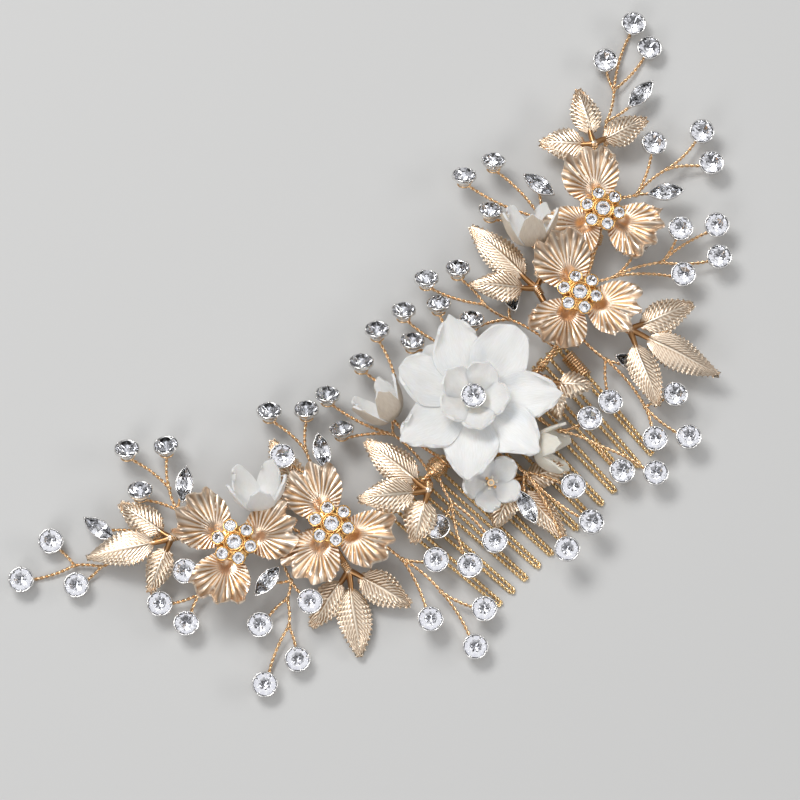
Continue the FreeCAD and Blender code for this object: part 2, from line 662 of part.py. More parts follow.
for name, rows in SPRAYS.items():
    _, root_x, around = rows[0]
    ends = [beside_spine(root_x, around, STEM_WIRE, V(*rows[1][2:5]))]
    pieces = []
    for row in rows[1:]:
        kind, parent = row[0], row[1]
        centre = V(*row[2:5])
        end = centre
        if kind == "round":
            lean = row[5]
            normal = placed(Part.makeLine(V(0, 0, 0), UP), V(0, 0, 0), 0, lean).Vertexes[1].Point
            end = wire_end(ends[parent], centre, normal, STONE_BACK, STONE_DIAMETER * 0.22)
            gems["round_stones"][side_of(centre.x)].append(placed(stone_blank, centre, 0, lean))
            gems["round_cups"][side_of(centre.x)].append(placed(stone_cup, centre, 0, lean))
        elif kind == "marquise":
            end = wire_end(ends[parent], centre, UP, MARQUISE_BACK, MARQUISE_WIDTH * 0.3)
            gems["marquise_stones"][side_of(centre.x)].append(placed(marquise_blank, centre, row[5]))
            gems["marquise_cups"][side_of(centre.x)].append(placed(marquise_cup, centre, row[5]))
        ends.append(end)
        pieces.append(strand(ends[parent], end, STEM_WIRE))
    for index, row in enumerate(rows):
        if row[0] == "fork":
            children = [ends[k] for k, other in enumerate(rows) if k and other[1] == index]
            pieces.append(knot(ends[index], KNOT_DIAMETER, children + [ends[row[1]]]))
    save("spray_" + name, [fused(pieces)])

for kind, sides in gems.items():
    if kind.startswith("marquise"):
        save(kind, sides["left"] + sides["middle"] + sides["right"])
    else:
        for side, solids in sides.items():
            save(kind + "_" + side, solids)

# ---------------------------------------------------------------- gold flowers
plate_radius = CLUSTER_RADIUS + CLUSTER_SIDE_STONE / 2 + SEAT_GAP + 2 * CUP_WALL
cluster_spots = [(V(0, 0, 0), CLUSTER_CENTRE_STONE)] + [
    (heading(360 * k / CLUSTER_SIDE_COUNT) * CLUSTER_RADIUS, CLUSTER_SIDE_STONE)
    for k in range(CLUSTER_SIDE_COUNT)]


def cluster(plate_z, foot_z):
    """Plate of cups on a post, and the stones in the cups."""
    body = [Part.makeCylinder(plate_radius, CLUSTER_PLATE, V(0, 0, plate_z)),
            Part.makeCylinder(POST_DIAMETER / 2, plate_z - foot_z + CLUSTER_PLATE / 2, V(0, 0, foot_z))]
    rooms, stones = [], []
    seat_z = plate_z + CLUSTER_PLATE + CLUSTER_CUP_HEIGHT
    for spot, width in cluster_spots:
        rim = round_outline(width, 8)
        radius = width / 2 + SEAT_GAP + CUP_WALL
        body.append(Part.makeCylinder(radius, CLUSTER_CUP_HEIGHT + CLUSTER_PLATE / 2,
                                      spot + UP * (plate_z + CLUSTER_PLATE / 2)))
        depth = width * 0.4
        rooms.append(Part.makeCylinder(width / 2 + SEAT_GAP, depth + SEAT_GAP,
                                       spot + UP * (seat_z - depth)))
        stone = cut_stone(rim, STONE_TABLE, width * 0.2, STONE_GIRDLE, depth - SEAT_GAP)
        stones.append(placed(stone, spot + UP * seat_z, 0))
    return fused(body).cut(Part.makeCompound(rooms)).Solids[0], stones


flower_cups, flower_stones = [], []
plate_lift = GOLD_PETAL_THICKNESS + SEAT_GAP + climb_at(
    plate_radius + GOLD_PETAL_THICKNESS / 2, POST_HOLE, GOLD_FLOWER_RADIUS * 0.8, GOLD_FLOWER_RADIUS,
    GOLD_PETAL_RISE, GOLD_PETAL_FRILL)
for name, (x, y, first_petal) in GOLD_FLOWERS.items():
    foot_z = spine_at(x)[0].z + SPINE_WIRE / 2 + SEAT_GAP
    petal_z = foot_z + FLOWER_STAND
    petals = corolla(3, first_petal, POST_HOLE, GOLD_FLOWER_RADIUS * 0.8, GOLD_FLOWER_RADIUS,
                     GOLD_PETAL_NOTCH, GOLD_PETAL_RISE, GOLD_PETAL_THICKNESS,
                     GOLD_PETAL_NARROWING, GOLD_PETAL_FRILL)
    save(name, [placed(petals, V(x, y, petal_z), 0)])
    plate, stones = cluster(petal_z + plate_lift, foot_z)
    flower_cups.append(placed(plate, V(x, y, 0), 0))
    for stone in stones:
        stone.translate(V(x, y, 0))
        flower_stones.append(stone)
save("gold_flower_cups", flower_cups)
save("gold_flower_stones", flower_stones)

# ---------------------------------------------------------------- white flower
main_x, main_y = MAIN_FLOWER
main_foot = SPINE_HEIGHT - STEM_WIRE / 2
main_z = SPINE_HEIGHT + SPINE_WIRE / 2 + MAIN_STAND
main_at = V(main_x, main_y, main_z)
outer = corolla(MAIN_PETAL_COUNT, MAIN_FLOWER_HEADING, POST_HOLE, MAIN_FLOWER_RADIUS * 0.7,
                MAIN_FLOWER_RADIUS, MAIN_PETAL_NOTCH, MAIN_PETAL_RISE, MAIN_PETAL_THICKNESS)
save("main_flower_outer_petals", [placed(outer, main_at, 0)])
inner_z = MAIN_PETAL_THICKNESS + SEAT_GAP
inner = corolla(MAIN_CUP_PETALS, 20, POST_HOLE, MAIN_CUP_RADIUS, MAIN_CUP_RADIUS, 0.6,
                MAIN_CUP_RISE, MAIN_PETAL_THICKNESS)
save("main_flower_inner_petals", [placed(inner, main_at + UP * inner_z, 0)])

# The centre stone's cup stands on the post that holds both rings of petals.
stone_z = main_z + inner_z + MAIN_PETAL_THICKNESS + MAIN_STONE_LIFT + STONE_BACK
washer_z = main_z + inner_z + MAIN_PETAL_THICKNESS + SEAT_GAP
post = Part.makeCylinder(POST_DIAMETER / 2, stone_z - STONE_BACK + CUP_WALL / 2 - main_foot,
                         V(main_x, main_y, main_foot))
washer = Part.makeCylinder(POST_DIAMETER / 2 + 0.7, 0.5, V(main_x, main_y, washer_z))
centre_cup = placed(stone_cup, V(main_x, main_y, stone_z), 0)
save("main_flower_centre_cup", [fused([centre_cup, post, washer])])
save("main_flower_centre_stone", [placed(stone_blank, V(main_x, main_y, stone_z), 0)])
neck_start = V(main_x, SPINE_WIRE / 2 + SEAT_GAP, SPINE_HEIGHT)
neck_end = V(main_x, main_y - POST_DIAMETER / 2 - SEAT_GAP, SPINE_HEIGHT)
save("main_flower_neck", [strand(neck_start, neck_end, STEM_WIRE)])

# ---------------------------------------------------------------- white buds
bud_stems, bud_beads = [], []
bead_height = BUD_THICKNESS + BUD_BEAD / 2 + SEAT_GAP
for name, (foot, turn, rise, radius, height, (root_x, around)) in BUDS.items():
    axis = heading(turn, rise)
    petals = corolla(BUD_PETAL_COUNT, 18, BUD_FOOT, radius, radius, 0.6, height, BUD_THICKNESS)
    spot = V(*foot)
    tilt = FreeCAD.Rotation(UP, axis)
    petals.Placement = FreeCAD.Placement(spot, tilt)
    save(name, [petals])
    # The stem ends in a peg through the bud's foot, with the beads round its head.
    peg = Part.makeCylinder(BUD_FOOT - SEAT_GAP, BUD_PEG, spot - axis * (BUD_PEG / 3), axis)
    stem_end = spot - axis * (BUD_PEG / 3 - STEM_WIRE / 4)
    start = beside_spine(root_x, around, STEM_WIRE, stem_end)
    bud_stems.append(fused([peg, strand(start, stem_end, STEM_WIRE)]))
    ring = BUD_FOOT + BUD_BEAD / 2
    for k in range(BUD_BEAD_COUNT):
        across = tilt.multVec(heading(360 * k / BUD_BEAD_COUNT) * ring)
        bud_beads.append(Part.makeSphere(BUD_BEAD / 2, spot + across + axis * bead_height))
save("bud_stems", bud_stems)
save("bud_beads", bud_beads)

# ---------------------------------------------------------------- leaf sprigs
for name, ((root_x, around), spring, leaves) in SPRIGS.items():
    spring = V(*spring)
    stalk_end = beside_spine(root_x, around, LEAF_STALK, spring)
    tips = [V(*tip) for tip, _ in leaves]
    pieces = [knot(spring, LEAF_BOSS, tips + [stalk_end]), strand(stalk_end, spring, LEAF_STALK)]
    for tip, scale in leaves:
        away = V(*tip) - spring
        away.normalize()
        pieces.append(leaf(spring + away * (LEAF_BOSS * 0.4), V(*tip), LEAF_WIDTH * scale))
    save(name, [fused(pieces)])
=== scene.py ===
import math

import bpy
import numpy as np
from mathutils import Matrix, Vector


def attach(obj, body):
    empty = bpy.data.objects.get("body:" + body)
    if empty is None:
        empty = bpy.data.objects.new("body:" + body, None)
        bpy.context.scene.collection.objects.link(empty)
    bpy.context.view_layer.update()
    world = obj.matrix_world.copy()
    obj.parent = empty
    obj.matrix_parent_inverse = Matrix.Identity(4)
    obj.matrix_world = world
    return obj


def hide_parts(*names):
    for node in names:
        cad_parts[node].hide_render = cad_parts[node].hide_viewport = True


# Looks of a decorative hair comb. Sizes below are millimetres and are scaled to metres
# when a mesh is built; the layout repeats the one the solid model is made from.

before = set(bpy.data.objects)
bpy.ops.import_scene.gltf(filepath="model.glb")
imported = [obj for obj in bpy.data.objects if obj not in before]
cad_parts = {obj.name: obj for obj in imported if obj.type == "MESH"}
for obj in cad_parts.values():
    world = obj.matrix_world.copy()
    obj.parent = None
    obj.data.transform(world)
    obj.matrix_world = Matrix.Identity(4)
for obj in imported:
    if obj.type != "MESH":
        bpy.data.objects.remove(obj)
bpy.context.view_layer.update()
MM = 0.001
FULL_TURN = 6.28         # radians, the range of the random turns
rng = np.random.default_rng(7)

SEAT_GAP = 0.05
BAR_HEIGHT = 3.5
BAR_WIRE = 1.2
TOOTH_WIRE = 0.8
TOOTH_COUNT, TOOTH_PITCH, TIP_PITCH = 13, 4.0, 3.6
TOOTH_LENGTH, LEG_SPREAD, TIP_SPREAD, END_LEG_SPREAD = 28.5, 1.8, 0.9, 1.2
SPINE_WIRE = 1.2
STEM_WIRE = 0.8
STONE_DIAMETER = 4.6
STONE_BACK = 1.85
TWIST_WIDTH = 0.7        # across a stem's two twisted strands
MARQUISE_LENGTH, MARQUISE_WIDTH, MARQUISE_BACK = 7.2, 3.2, 1.45
COMB_HALF = TOOTH_PITCH * (TOOTH_COUNT - 1) / 2
TIPS_HALF = TIP_PITCH * (TOOTH_COUNT - 1) / 2
END_SWING = math.atan2((TOOTH_PITCH - TIP_PITCH) * (TOOTH_COUNT - 1) / 2, TOOTH_LENGTH)
HOOK_PLAY = LEG_SPREAD / 2 * math.sin(END_SWING)
HOOK_RADIUS = BAR_WIRE / 2 + TOOTH_WIRE / 2 + SEAT_GAP + HOOK_PLAY
SPINE_HEIGHT = BAR_HEIGHT + HOOK_RADIUS + TOOTH_WIRE / 2 + SEAT_GAP + SPINE_WIRE / 2
UP = np.array([0.0, 0.0, 1.0])
TAG_STEP = 3.0           # keeps each leaf's and petal's texture apart from the next one's

# Spine, left to right: x, y and its drop below the stretch over the bar.
SPINE_PATH = [
    (-56.0, 25.0, 1.5), (-50.5, 17.0, 1.0), (-42.5, 10.5, 0.7), (-34.5, 6.0, 0.4),
    (-28.0, 2.6, 0.1), (-23.0, 0.6, 0.0), (-19.0, 0.0, 0.0), (-14.0, 0.0, 0.0), (0.0, 0.0, 0.0),
    (14.0, 0.0, 0.0), (19.0, 0.0, 0.0), (23.0, 0.5, 0.0), (28.0, 2.2, 0.1), (33.5, 4.5, 0.4),
    (41.5, 8.5, 0.7), (49.5, 13.5, 1.0), (57.0, 22.5, 1.5)]

# Where a fine wire is wound round the spine: x at the start and at the end.
SPINE_WRAPS = [(-48.8, -46.8), (-39.5, -38.0), (29.6, 31.0), (44.0, 46.0)]

# Degrees that a stone leans from +Z, towards a heading of 45 degrees.
FLAT = 0
LEANING = 38

# Sprays. First row: where the stem leaves the spine (x, degrees round it from +Y to +Z).
# Then, each with the row it grows from: a fork at x, y, z; a round stone at x, y, z with its
# lean; or a marquise at x, y, z with the heading of its long axis.
SPRAYS = {
    "left_tip": [
        ("root", -54.5, 180),
        ("fork", 0, -60.0, 29.5, 3.0),
        ("fork", 1, -72.5, 33.5, 1.5),
        ("fork", 2, -76.0, 37.5, 1.0),
        ("round", 3, -85.5, 42.5, 2.8, FLAT),
        ("round", 3, -76.0, 44.0, 2.8, FLAT),
        ("round", 2, -78.5, 34.0, 2.8, FLAT),
        ("marquise", 1, -67.5, 39.0, 3.2, 100)],
    "left_upper": [
        ("root", -53.0, 10),
        ("fork", 0, -54.0, 30.5, 3.6),
        ("fork", 1, -52.0, 35.0, 3.2),
        ("round", 2, -52.5, 46.5, 4.5, LEANING),
        ("round", 2, -46.5, 41.5, 4.5, LEANING),
        ("round", 1, -56.5, 38.5, 4.8, LEANING),
        ("marquise", 1, -49.5, 33.0, 5.5, 40)],
    "left_lower": [
        ("root", -52.0, 180),
        ("fork", 0, -57.5, 17.0, 3.4),
        ("round", 1, -61.5, 20.5, 4.5, FLAT),
        ("fork", 1, -62.5, 15.5, 2.6),
        ("round", 3, -69.5, 19.5, 3.5, FLAT),
        ("round", 3, -68.5, 13.0, 3.5, FLAT)],
    "lower_left": [
        ("root", -44.5, 180),
        ("fork", 0, -48.0, 4.5, 3.8),
        ("fork", 1, -51.0, 2.5, 3.2),
        ("round", 2, -58.5, 2.5, 3.8, FLAT),
        ("fork", 2, -54.5, -1.5, 2.2),
        ("round", 4, -66.0, -6.5, 2.8, FLAT),
        ("round", 4, -58.0, -7.5, 2.8, FLAT),
        ("round", 1, -48.5, -1.5, 6.2, FLAT),
        ("marquise", 1, -51.5, 7.5, 5.0, 6)],
    "upper_left": [
        ("root", -33.0, 0),
        ("fork", 0, -29.5, 14.0, 4.5),
        ("fork", 1, -27.5, 21.0, 4.0),
        ("round", 2, -27.0, 32.0, 4.5, LEANING),
        ("round", 2, -21.5, 27.0, 4.5, LEANING),
        ("marquise", 1, -25.5, 18.5, 5.6, 57),
        ("round", 1, -32.0, 23.0, 7.4, FLAT)],
    "upper_middle": [
        ("root", -13.5, 20),
        ("fork", 0, -13.0, 11.0, 5.0),
        ("round", 1, -16.5, 26.0, 5.5, LEANING),
        ("round", 1, -19.5, 19.0, 5.5, LEANING),
        ("fork", 1, -6.0, 16.5, 4.4),
        ("round", 4, 0.0, 28.5, 5.5, LEANING),
        ("round", 4, -7.0, 26.0, 5.5, LEANING)],
    "crown": [
        ("root", 7.5, 0),
        ("fork", 0, 7.5, 16.0, 5.4),
        ("round", 1, 6.5, 27.5, 6.0, LEANING),
        ("round", 1, 12.5, 23.5, 6.0, LEANING),
        ("round", 1, 3.0, 21.5, 7.2, LEANING)],
    "upper_right": [
        ("root", 22.5, 0),
        ("fork", 0, 21.0, 11.5, 2.8),
        ("fork", 1, 19.0, 17.0, 5.2),
        ("round", 2, 20.5, 26.0, 6.0, LEANING),
        ("round", 2, 14.5, 29.0, 6.0, LEANING),
        ("round", 1, 15.0, 16.5, 5.8, LEANING),
        ("marquise", 1, 24.5, 15.0, 3.8, 60)],
    "right_upper": [
        ("root", 39.5, 0),
        ("fork", 0, 40.5, 22.0, 3.6),
        ("round", 1, 35.5, 39.0, 5.5, LEANING),
        ("round", 1, 42.0, 37.0, 5.5, LEANING),
        ("round", 1, 34.0, 30.0, 5.5, LEANING),
        ("marquise", 1, 45.0, 27.0, 5.0, 100)],
    "right_tip": [
        ("root", 55.0, 180),
        ("fork", 0, 61.0, 23.5, 3.6),
        ("fork", 1, 65.0, 27.0, 3.2),
        ("fork", 2, 71.5, 31.0, 1.6),
        ("round", 3, 84.5, 38.0, 2.8, FLAT),
        ("round", 3, 83.0, 32.0, 2.8, FLAT),
        ("round", 3, 74.5, 36.5, 3.0, FLAT),
        ("marquise", 2, 74.0, 26.0, 4.0, 3)],
    "right_lower": [
        ("root", 52.0, 180),
        ("fork", 0, 57.5, 11.5, 4.4),
        ("fork", 1, 66.5, 11.0, 3.4),
        ("round", 2, 77.0, 11.5, 4.2, FLAT),
        ("round", 2, 73.5, 5.5, 4.2, FLAT),
        ("round", 1, 68.0, 16.5, 5.2, FLAT),
        ("marquise", 1, 62.0, 7.5, 5.6, -38)],
    "lower_right": [
        ("root", 37.0, 180),
        ("fork", 0, 42.0, 2.5, 4.8),
        ("fork", 1, 51.0, -2.0, 4.0),
        ("round", 2, 58.5, 0.0, 5.6, FLAT),
        ("round", 2, 64.5, -4.5, 4.6, FLAT),
        ("round", 2, 60.0, -9.5, 4.6, FLAT),
        ("round", 1, 52.0, -7.0, 5.2, FLAT),
        ("marquise", 1, 50.0, 3.5, 5.6, -8)],
    "below_right_flower": [
        ("root", 28.0, 180),
        ("fork", 0, 28.5, -8.0, 3.4),
        ("fork", 1, 27.0, -20.5, 3.4),
        ("round", 1, 22.5, -15.0, 5.2, FLAT),
        ("round", 2, 23.5, -26.5, 4.6, FLAT),
        ("round", 2, 28.5, -31.0, 4.6, FLAT),
        ("round", 2, 33.0, -23.0, 4.2, FLAT),
        ("marquise", 1, 31.5, -12.5, 4.6, -70)],
    "below_centre": [
        ("root", 9.0, 180),
        ("fork", 0, 11.0, -12.0, 5.0),
        ("fork", 1, 14.5, -19.5, 4.2),
        ("round", 2, 14.0, -26.5, 4.8, FLAT),
        ("round", 2, 18.5, -31.5, 4.8, FLAT),
        ("round", 1, 17.0, -14.5, 5.6, FLAT)],
    "below_buds": [
        ("root", -0.5, 180),
        ("fork", 0, 0.0, -13.0, 5.4),
        ("round", 1, 4.5, -22.0, 7.0, FLAT),
        ("round", 1, 2.0, -29.5, 6.5, FLAT),
        ("round", 1, -5.5, -30.0, 7.2, FLAT),
        ("marquise", 1, -5.0, -18.5, 7.2, -108)],
    "below_middle_left": [
        ("root", -12.5, 180),
        ("fork", 0, -14.5, -7.0, 4.8),
        ("round", 1, -14.0, -18.5, 5.0, FLAT),
        ("round", 1, -21.0, -18.5, 5.0, FLAT),
        ("round", 1, -20.0, -8.5, 5.2, FLAT)],
    "below_left_sprig": [
        ("root", -29.0, 180),
        ("fork", 0, -29.5, -8.0, 4.2),
        ("fork", 1, -28.5, -18.0, 3.0),
        ("round", 1, -25.0, -13.0, 5.2, FLAT),
        ("round", 1, -34.0, -20.5, 4.4, FLAT),
        ("round", 2, -25.0, -26.5, 3.8, FLAT),
        ("round", 2, -31.5, -30.5, 3.2, FLAT)],
}

# Gold flowers: centre x, y, then the heading and the rise at the tip of each petal.
GOLD_FLOWERS = {
    "gold_flower_1": (-51.0, 17.0, [(100, 3.6), (-26, 4.2), (206, 3.1)]),
    "gold_flower_2": (-35.0, 6.0, [(73, 3.9), (-66, 3.1), (194, 1.9)]),
    "gold_flower_3": (33.5, 4.5, [(72, 5.0), (-68, 3.1), (192, 3.1)]),
    "gold_flower_4": (49.5, 13.5, [(63, 3.6), (-76, 3.1), (170, 1.7)]),
}

MAIN_FLOWER = (2.5, 4.0)

# The white flower's seven overlapping outer petals: heading, length, half width, taper.
MAIN_PETALS = [
    (61, 16.2, 5.6, 0.62), (12, 16.6, 6.1, 0.4), (-44, 16.6, 5.6, 0.66), (-87, 16.2, 5.6, 0.6),
    (-139, 16.2, 5.8, 0.6), (-193, 16.2, 5.7, 0.66), (-249, 15.6, 5.5, 0.5)]

# White buds: foot x, y, z; heading and rise of the axis; radius; height; where its stem
# leaves the spine (x, degrees round it).
BUDS = {
    "white_bud_1": ((-41.7, 19.3, 7.6), 55, 45, 5.0, 6.0, (-40.6, 30)),
    "white_bud_2": ((-11.0, 13.5, 6.6), 85, 25, 4.4, 6.5, (-10.0, 20)),
    "white_bud_3": ((34.5, 19.0, 7.4), 50, 30, 4.8, 6.5, (36.5, 30)),
    "white_bud_4": ((5.0, -11.5, 6.4), -50, 15, 4.1, 5.5, (4.0, 180)),
    "white_bud_5": ((-6.5, -9.8, 5.8), -100, 80, 4.8, 3.4, (-7.5, 180)),
}

# Leaf sprigs: where the stalk leaves the spine (x, degrees round it), the point the leaves
# spring from, then each leaf's tip and width factor.
SPRIGS = {
    "leaf_sprig_1": ((-55.7, 60), (-59.0, 27.0, 5.8), [
        ((-61.0, 39.5, 4.0), 0.9), ((-73.5, 36.0, 4.4), 1.0), ((-69.5, 22.5, 4.4), 0.8)]),
    "leaf_sprig_2": ((-14.8, 150), (-16.5, -2.4, 7.6), [
        ((-18.0, 13.5, 7.2), 1.0), ((-28.0, 5.5, 9.8), 1.0), ((-26.0, -7.5, 6.5), 1.0)]),
    "leaf_sprig_3": ((-36.5, 180), (-38.5, -2.0, 3.2), [
        ((-51.5, -4.5, 1.6), 0.9), ((-34.5, -15.5, 3.0), 1.0), ((-49.0, -15.5, 1.6), 1.0)]),
    "leaf_sprig_4": ((26.5, 0), (29.0, 12.0, 4.8), [
        ((29.0, 30.5, 4.6), 1.0), ((19.5, 21.5, 6.8), 0.9), ((37.5, 15.0, 4.2), 0.7)]),
    "leaf_sprig_5": ((56.5, 60), (59.0, 25.0, 5.6), [
        ((65.5, 35.5, 4.8), 0.9), ((51.5, 33.0, 4.5), 1.0), ((70.5, 21.0, 5.0), 0.9)]),
    "leaf_sprig_6": ((32.3, 180), (35.5, -7.5, 6.6), [
        ((48.5, -13.0, 6.0), 1.0), ((42.0, -26.5, 5.5), 1.0), ((28.0, -22.5, 7.0), 0.9)]),
    "leaf_sprig_7": ((16.0, 180), (16.5, -4.0, 6.8), [
        ((21.5, -10.5, 7.2), 0.8), ((12.5, -11.0, 6.8), 0.6)]),
    "leaf_sprig_8": ((-3.0, 180), (-2.5, -12.5, 3.9), [
        ((7.0, -18.5, 3.6), 0.8), ((-12.0, -17.0, 3.6), 0.8), ((-3.5, -27.5, 3.0), 0.8)]),
    "leaf_sprig_9": ((-36.5, 0), (-35.5, 12.5, 3.6), [
        ((-30.5, 27.5, 2.8), 0.9), ((-42.0, 25.0, 3.2), 0.6)]),
}


# ---------------------------------------------------------------- mesh helpers
def unit(v):
    v = np.asarray(v, float)
    return v / np.linalg.norm(v)


def frame_of(axis, hint=UP):
    """Columns: side, other side, axis."""
    axis = unit(axis)
    if abs(axis @ hint) > 0.98:
        hint = np.array([1.0, 0.0, 0.0])
    side = unit(np.cross(hint, axis))
    return np.stack([side, np.cross(axis, side), axis], axis=1)


class Shape:
    """Collects grids and polygons, each with a material slot, into one mesh."""

    def __init__(self):
        self.points, self.faces, self.uvs, self.count = [], [], [], 0
        self.slots, self.smooth = [], []      # one of each per face

    def add(self, points, faces, slot=0, smooth=True, uvs=None):
        points = np.asarray(points, float).reshape(-1, 3)
        self.points.append(points)
        for face in faces:
            self.faces.append([k + self.count for k in face])
            self.slots.append(slot)
            self.smooth.append(smooth)
            self.uvs.extend([(0.0, 0.0)] * len(face) if uvs is None else [uvs[k] for k in face])
        self.count += len(points)

    def grid(self, pts, slot=0, wrap_rows=False, wrap_cols=False, flip=False, smooth=True,
             tag=0.0):
        """Quads between rows of points; `tag` shifts the sheet's texture."""
        n, m = pts.shape[:2]
        uvs = [(i / max(1, n - 1) + tag, j / max(1, m - 1)) for i in range(n) for j in range(m)]
        faces = []
        for i in range(n if wrap_rows else n - 1):
            for j in range(m if wrap_cols else m - 1):
                a, b = i * m + j, i * m + (j + 1) % m
                c, d = ((i + 1) % n) * m + (j + 1) % m, ((i + 1) % n) * m + j
                faces.append((a, d, c, b) if flip else (a, b, c, d))
        self.add(pts.reshape(-1, 3), faces, slot, smooth, uvs)

    def blade(self, pts, thickness, slot=0, back=None, tag=0.0):
        """Closed sheet: `pts` is its outer face, thickened inwards along its normals."""
        du = np.gradient(pts, axis=0)
        dv = np.gradient(pts, axis=1)
        normal = np.cross(du, dv)
        normal /= np.maximum(np.linalg.norm(normal, axis=2, keepdims=True), 1e-9)
        under = pts - normal * thickness
        back = slot if back is None else back
        self.grid(pts, slot, flip=True, tag=tag)
        self.grid(under, back, tag=tag)
        for top, low, turn in ((pts[0], under[0], True), (pts[-1], under[-1], False),
                               (pts[:, 0], under[:, 0], False), (pts[:, -1], under[:, -1], True)):
            self.grid(np.stack([low, top] if turn else [top, low]), slot, tag=tag)

    def tube(self, path, radius, sides=8, slot=0, closed=False):
        """Round wire along a path; `radius` may vary along it."""
        path = np.asarray(path, float)
        n = len(path)
        tangent = np.gradient(path, axis=0)
        if closed:
            tangent = np.roll(path, -1, 0) - np.roll(path, 1, 0)
        tangent /= np.maximum(np.linalg.norm(tangent, axis=1, keepdims=True), 1e-12)
        side = frame_of(tangent[0])[:, 0]
        sides_at = []
        for t in tangent:
            side = unit(side - t * (side @ t))
            sides_at.append(side)
        sides_at = np.array(sides_at)
        other = np.cross(tangent, sides_at)
        turn = np.linspace(0, 2 * math.pi, sides, endpoint=False)
        r = (np.ones(n) * radius)[:, None, None]
        cosines, sines = np.cos(turn)[None, :, None], np.sin(turn)[None, :, None]
        rings = path[:, None] + r * (cosines * sides_at[:, None] + sines * other[:, None])
        self.grid(rings, slot, wrap_rows=closed, wrap_cols=True, flip=True)
        if not closed:
            self.add(rings[0], [tuple(range(sides))[::-1]], slot)
            self.add(rings[-1], [tuple(range(sides))], slot)

    def twist(self, path, width, pitch=1.7, strands=2, step=0.17, sides=6, phase=0.0):
        """Strands twisted together along a path, `width` across."""
        path = resample(path, step)
        tangent = np.gradient(path, axis=0)
        tangent /= np.maximum(np.linalg.norm(tangent, axis=1, keepdims=True), 1e-12)
        side = frame_of(tangent[0])[:, 0]
        a, b = [], []
        for t in tangent:
            side = unit(side - t * (side @ t))
            a.append(side)
            b.append(np.cross(t, side))
        a, b = np.array(a), np.array(b)
        along = np.arange(len(path)) * step
        r = width / 2 / (1 + 1 / math.sin(math.pi / strands))
        reach = width / 2 - r
        pressed = 1.04          # strands are pressed into each other a little
        for k in range(strands):
            angle = (2 * math.pi * (along / pitch + k / strands) + phase)[:, None]
            strand = path + reach * (np.cos(angle) * a + np.sin(angle) * b)
            self.tube(strand, r * pressed, sides)

    def ball(self, centre, radius, slot=0, squash=1.0, axis=UP, rings=6, sides=10):
        turn = frame_of(axis)
        pts = []
        for i in range(rings + 1):
            lat = math.pi * i / rings - math.pi / 2
            for j in range(sides):
                lon = 2 * math.pi * j / sides
                pts.append([math.cos(lat) * math.cos(lon), math.cos(lat) * math.sin(lon),
                            math.sin(lat) * squash])
        pts = (np.array(pts) * radius) @ turn.T + np.asarray(centre, float)
        self.grid(pts.reshape(rings + 1, sides, 3), slot, wrap_cols=True, flip=True)

    def lathe(self, profile, place, slot=0, sides=24, smooth=True):
        """Surface of revolution from (radius, height) pairs."""
        turn = np.linspace(0, 2 * math.pi, sides, endpoint=False)
        pts = np.array([[[r * math.cos(a), r * math.sin(a), z] for a in turn] for r, z in profile])
        self.grid(place(pts), slot, wrap_cols=True, smooth=smooth)

    def build(self, name, materials, node, slot):
        """Piece `name`, riding on the comb, in place of the solid model's `node`."""
        mesh = bpy.data.meshes.new(name)
        points = np.concatenate(self.points) * MM
        mesh.from_pydata([tuple(p) for p in points.tolist()], [], self.faces)
        mesh.polygons.foreach_set("material_index", self.slots)
        mesh.polygons.foreach_set("use_smooth", self.smooth)
        layer = mesh.uv_layers.new(name="UVMap")
        layer.data.foreach_set("uv", np.array(self.uvs, float).ravel())
        for material in materials:
            mesh.materials.append(material)
        mesh.update()
        obj = bpy.data.objects.new(name, mesh)
        bpy.context.scene.collection.objects.link(obj)
        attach(obj, "root")
        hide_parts(node)


def resample(path, step):
    """The path again, with points about `step` apart."""
    path = np.asarray(path, float)
    lengths = np.concatenate([[0], np.cumsum(np.linalg.norm(np.diff(path, axis=0), axis=1))])
    count = max(4, int(round(lengths[-1] / step)) + 1)
    marks = np.linspace(0, lengths[-1], count)
    return np.stack([np.interp(marks, lengths, path[:, k]) for k in range(3)], axis=1)


def bowed(a, b, bow, count=24):
    """Gently bowed path between two points."""
    a, b = np.asarray(a, float), np.asarray(b, float)
    span = b - a
    side = unit(np.cross(UP, span)) * np.linalg.norm(span) * bow
    s = np.linspace(0, 1, count)[:, None]
    return a + span * s + side * 4 * s * (1 - s)


def circle(radius, count):
    """Points of a flat ring round the origin."""
    return np.array([(radius * math.cos(a), radius * math.sin(a), 0)
                     for a in np.linspace(0, 2 * math.pi, count, endpoint=False)])


def helix(start, end, radius, pitch):
    """Path of a wire wound round the line from start to end."""
    start, end = np.asarray(start, float), np.asarray(end, float)
    length = np.linalg.norm(end - start)
    turn = frame_of(end - start)
    points_per_turn = 18
    s = np.linspace(0, length, max(12, int(length / pitch * points_per_turn)))
    angle = 2 * math.pi * s / pitch
    local = np.stack([radius * np.cos(angle), radius * np.sin(angle), s], axis=1)
    return local @ turn.T + start


def placer(centre, axis=UP, turn=0.0):
    """Function that moves points modelled round +Z to a centre and axis."""
    base = frame_of(axis) if abs(unit(axis) @ UP) < 0.9999 else np.eye(3)
    c, s = math.cos(turn), math.sin(turn)
    spin = np.array([[c, -s, 0], [s, c, 0], [0, 0, 1]])
    both = base @ spin
    return lambda pts: np.asarray(pts, float) @ both.T + np.asarray(centre, float)


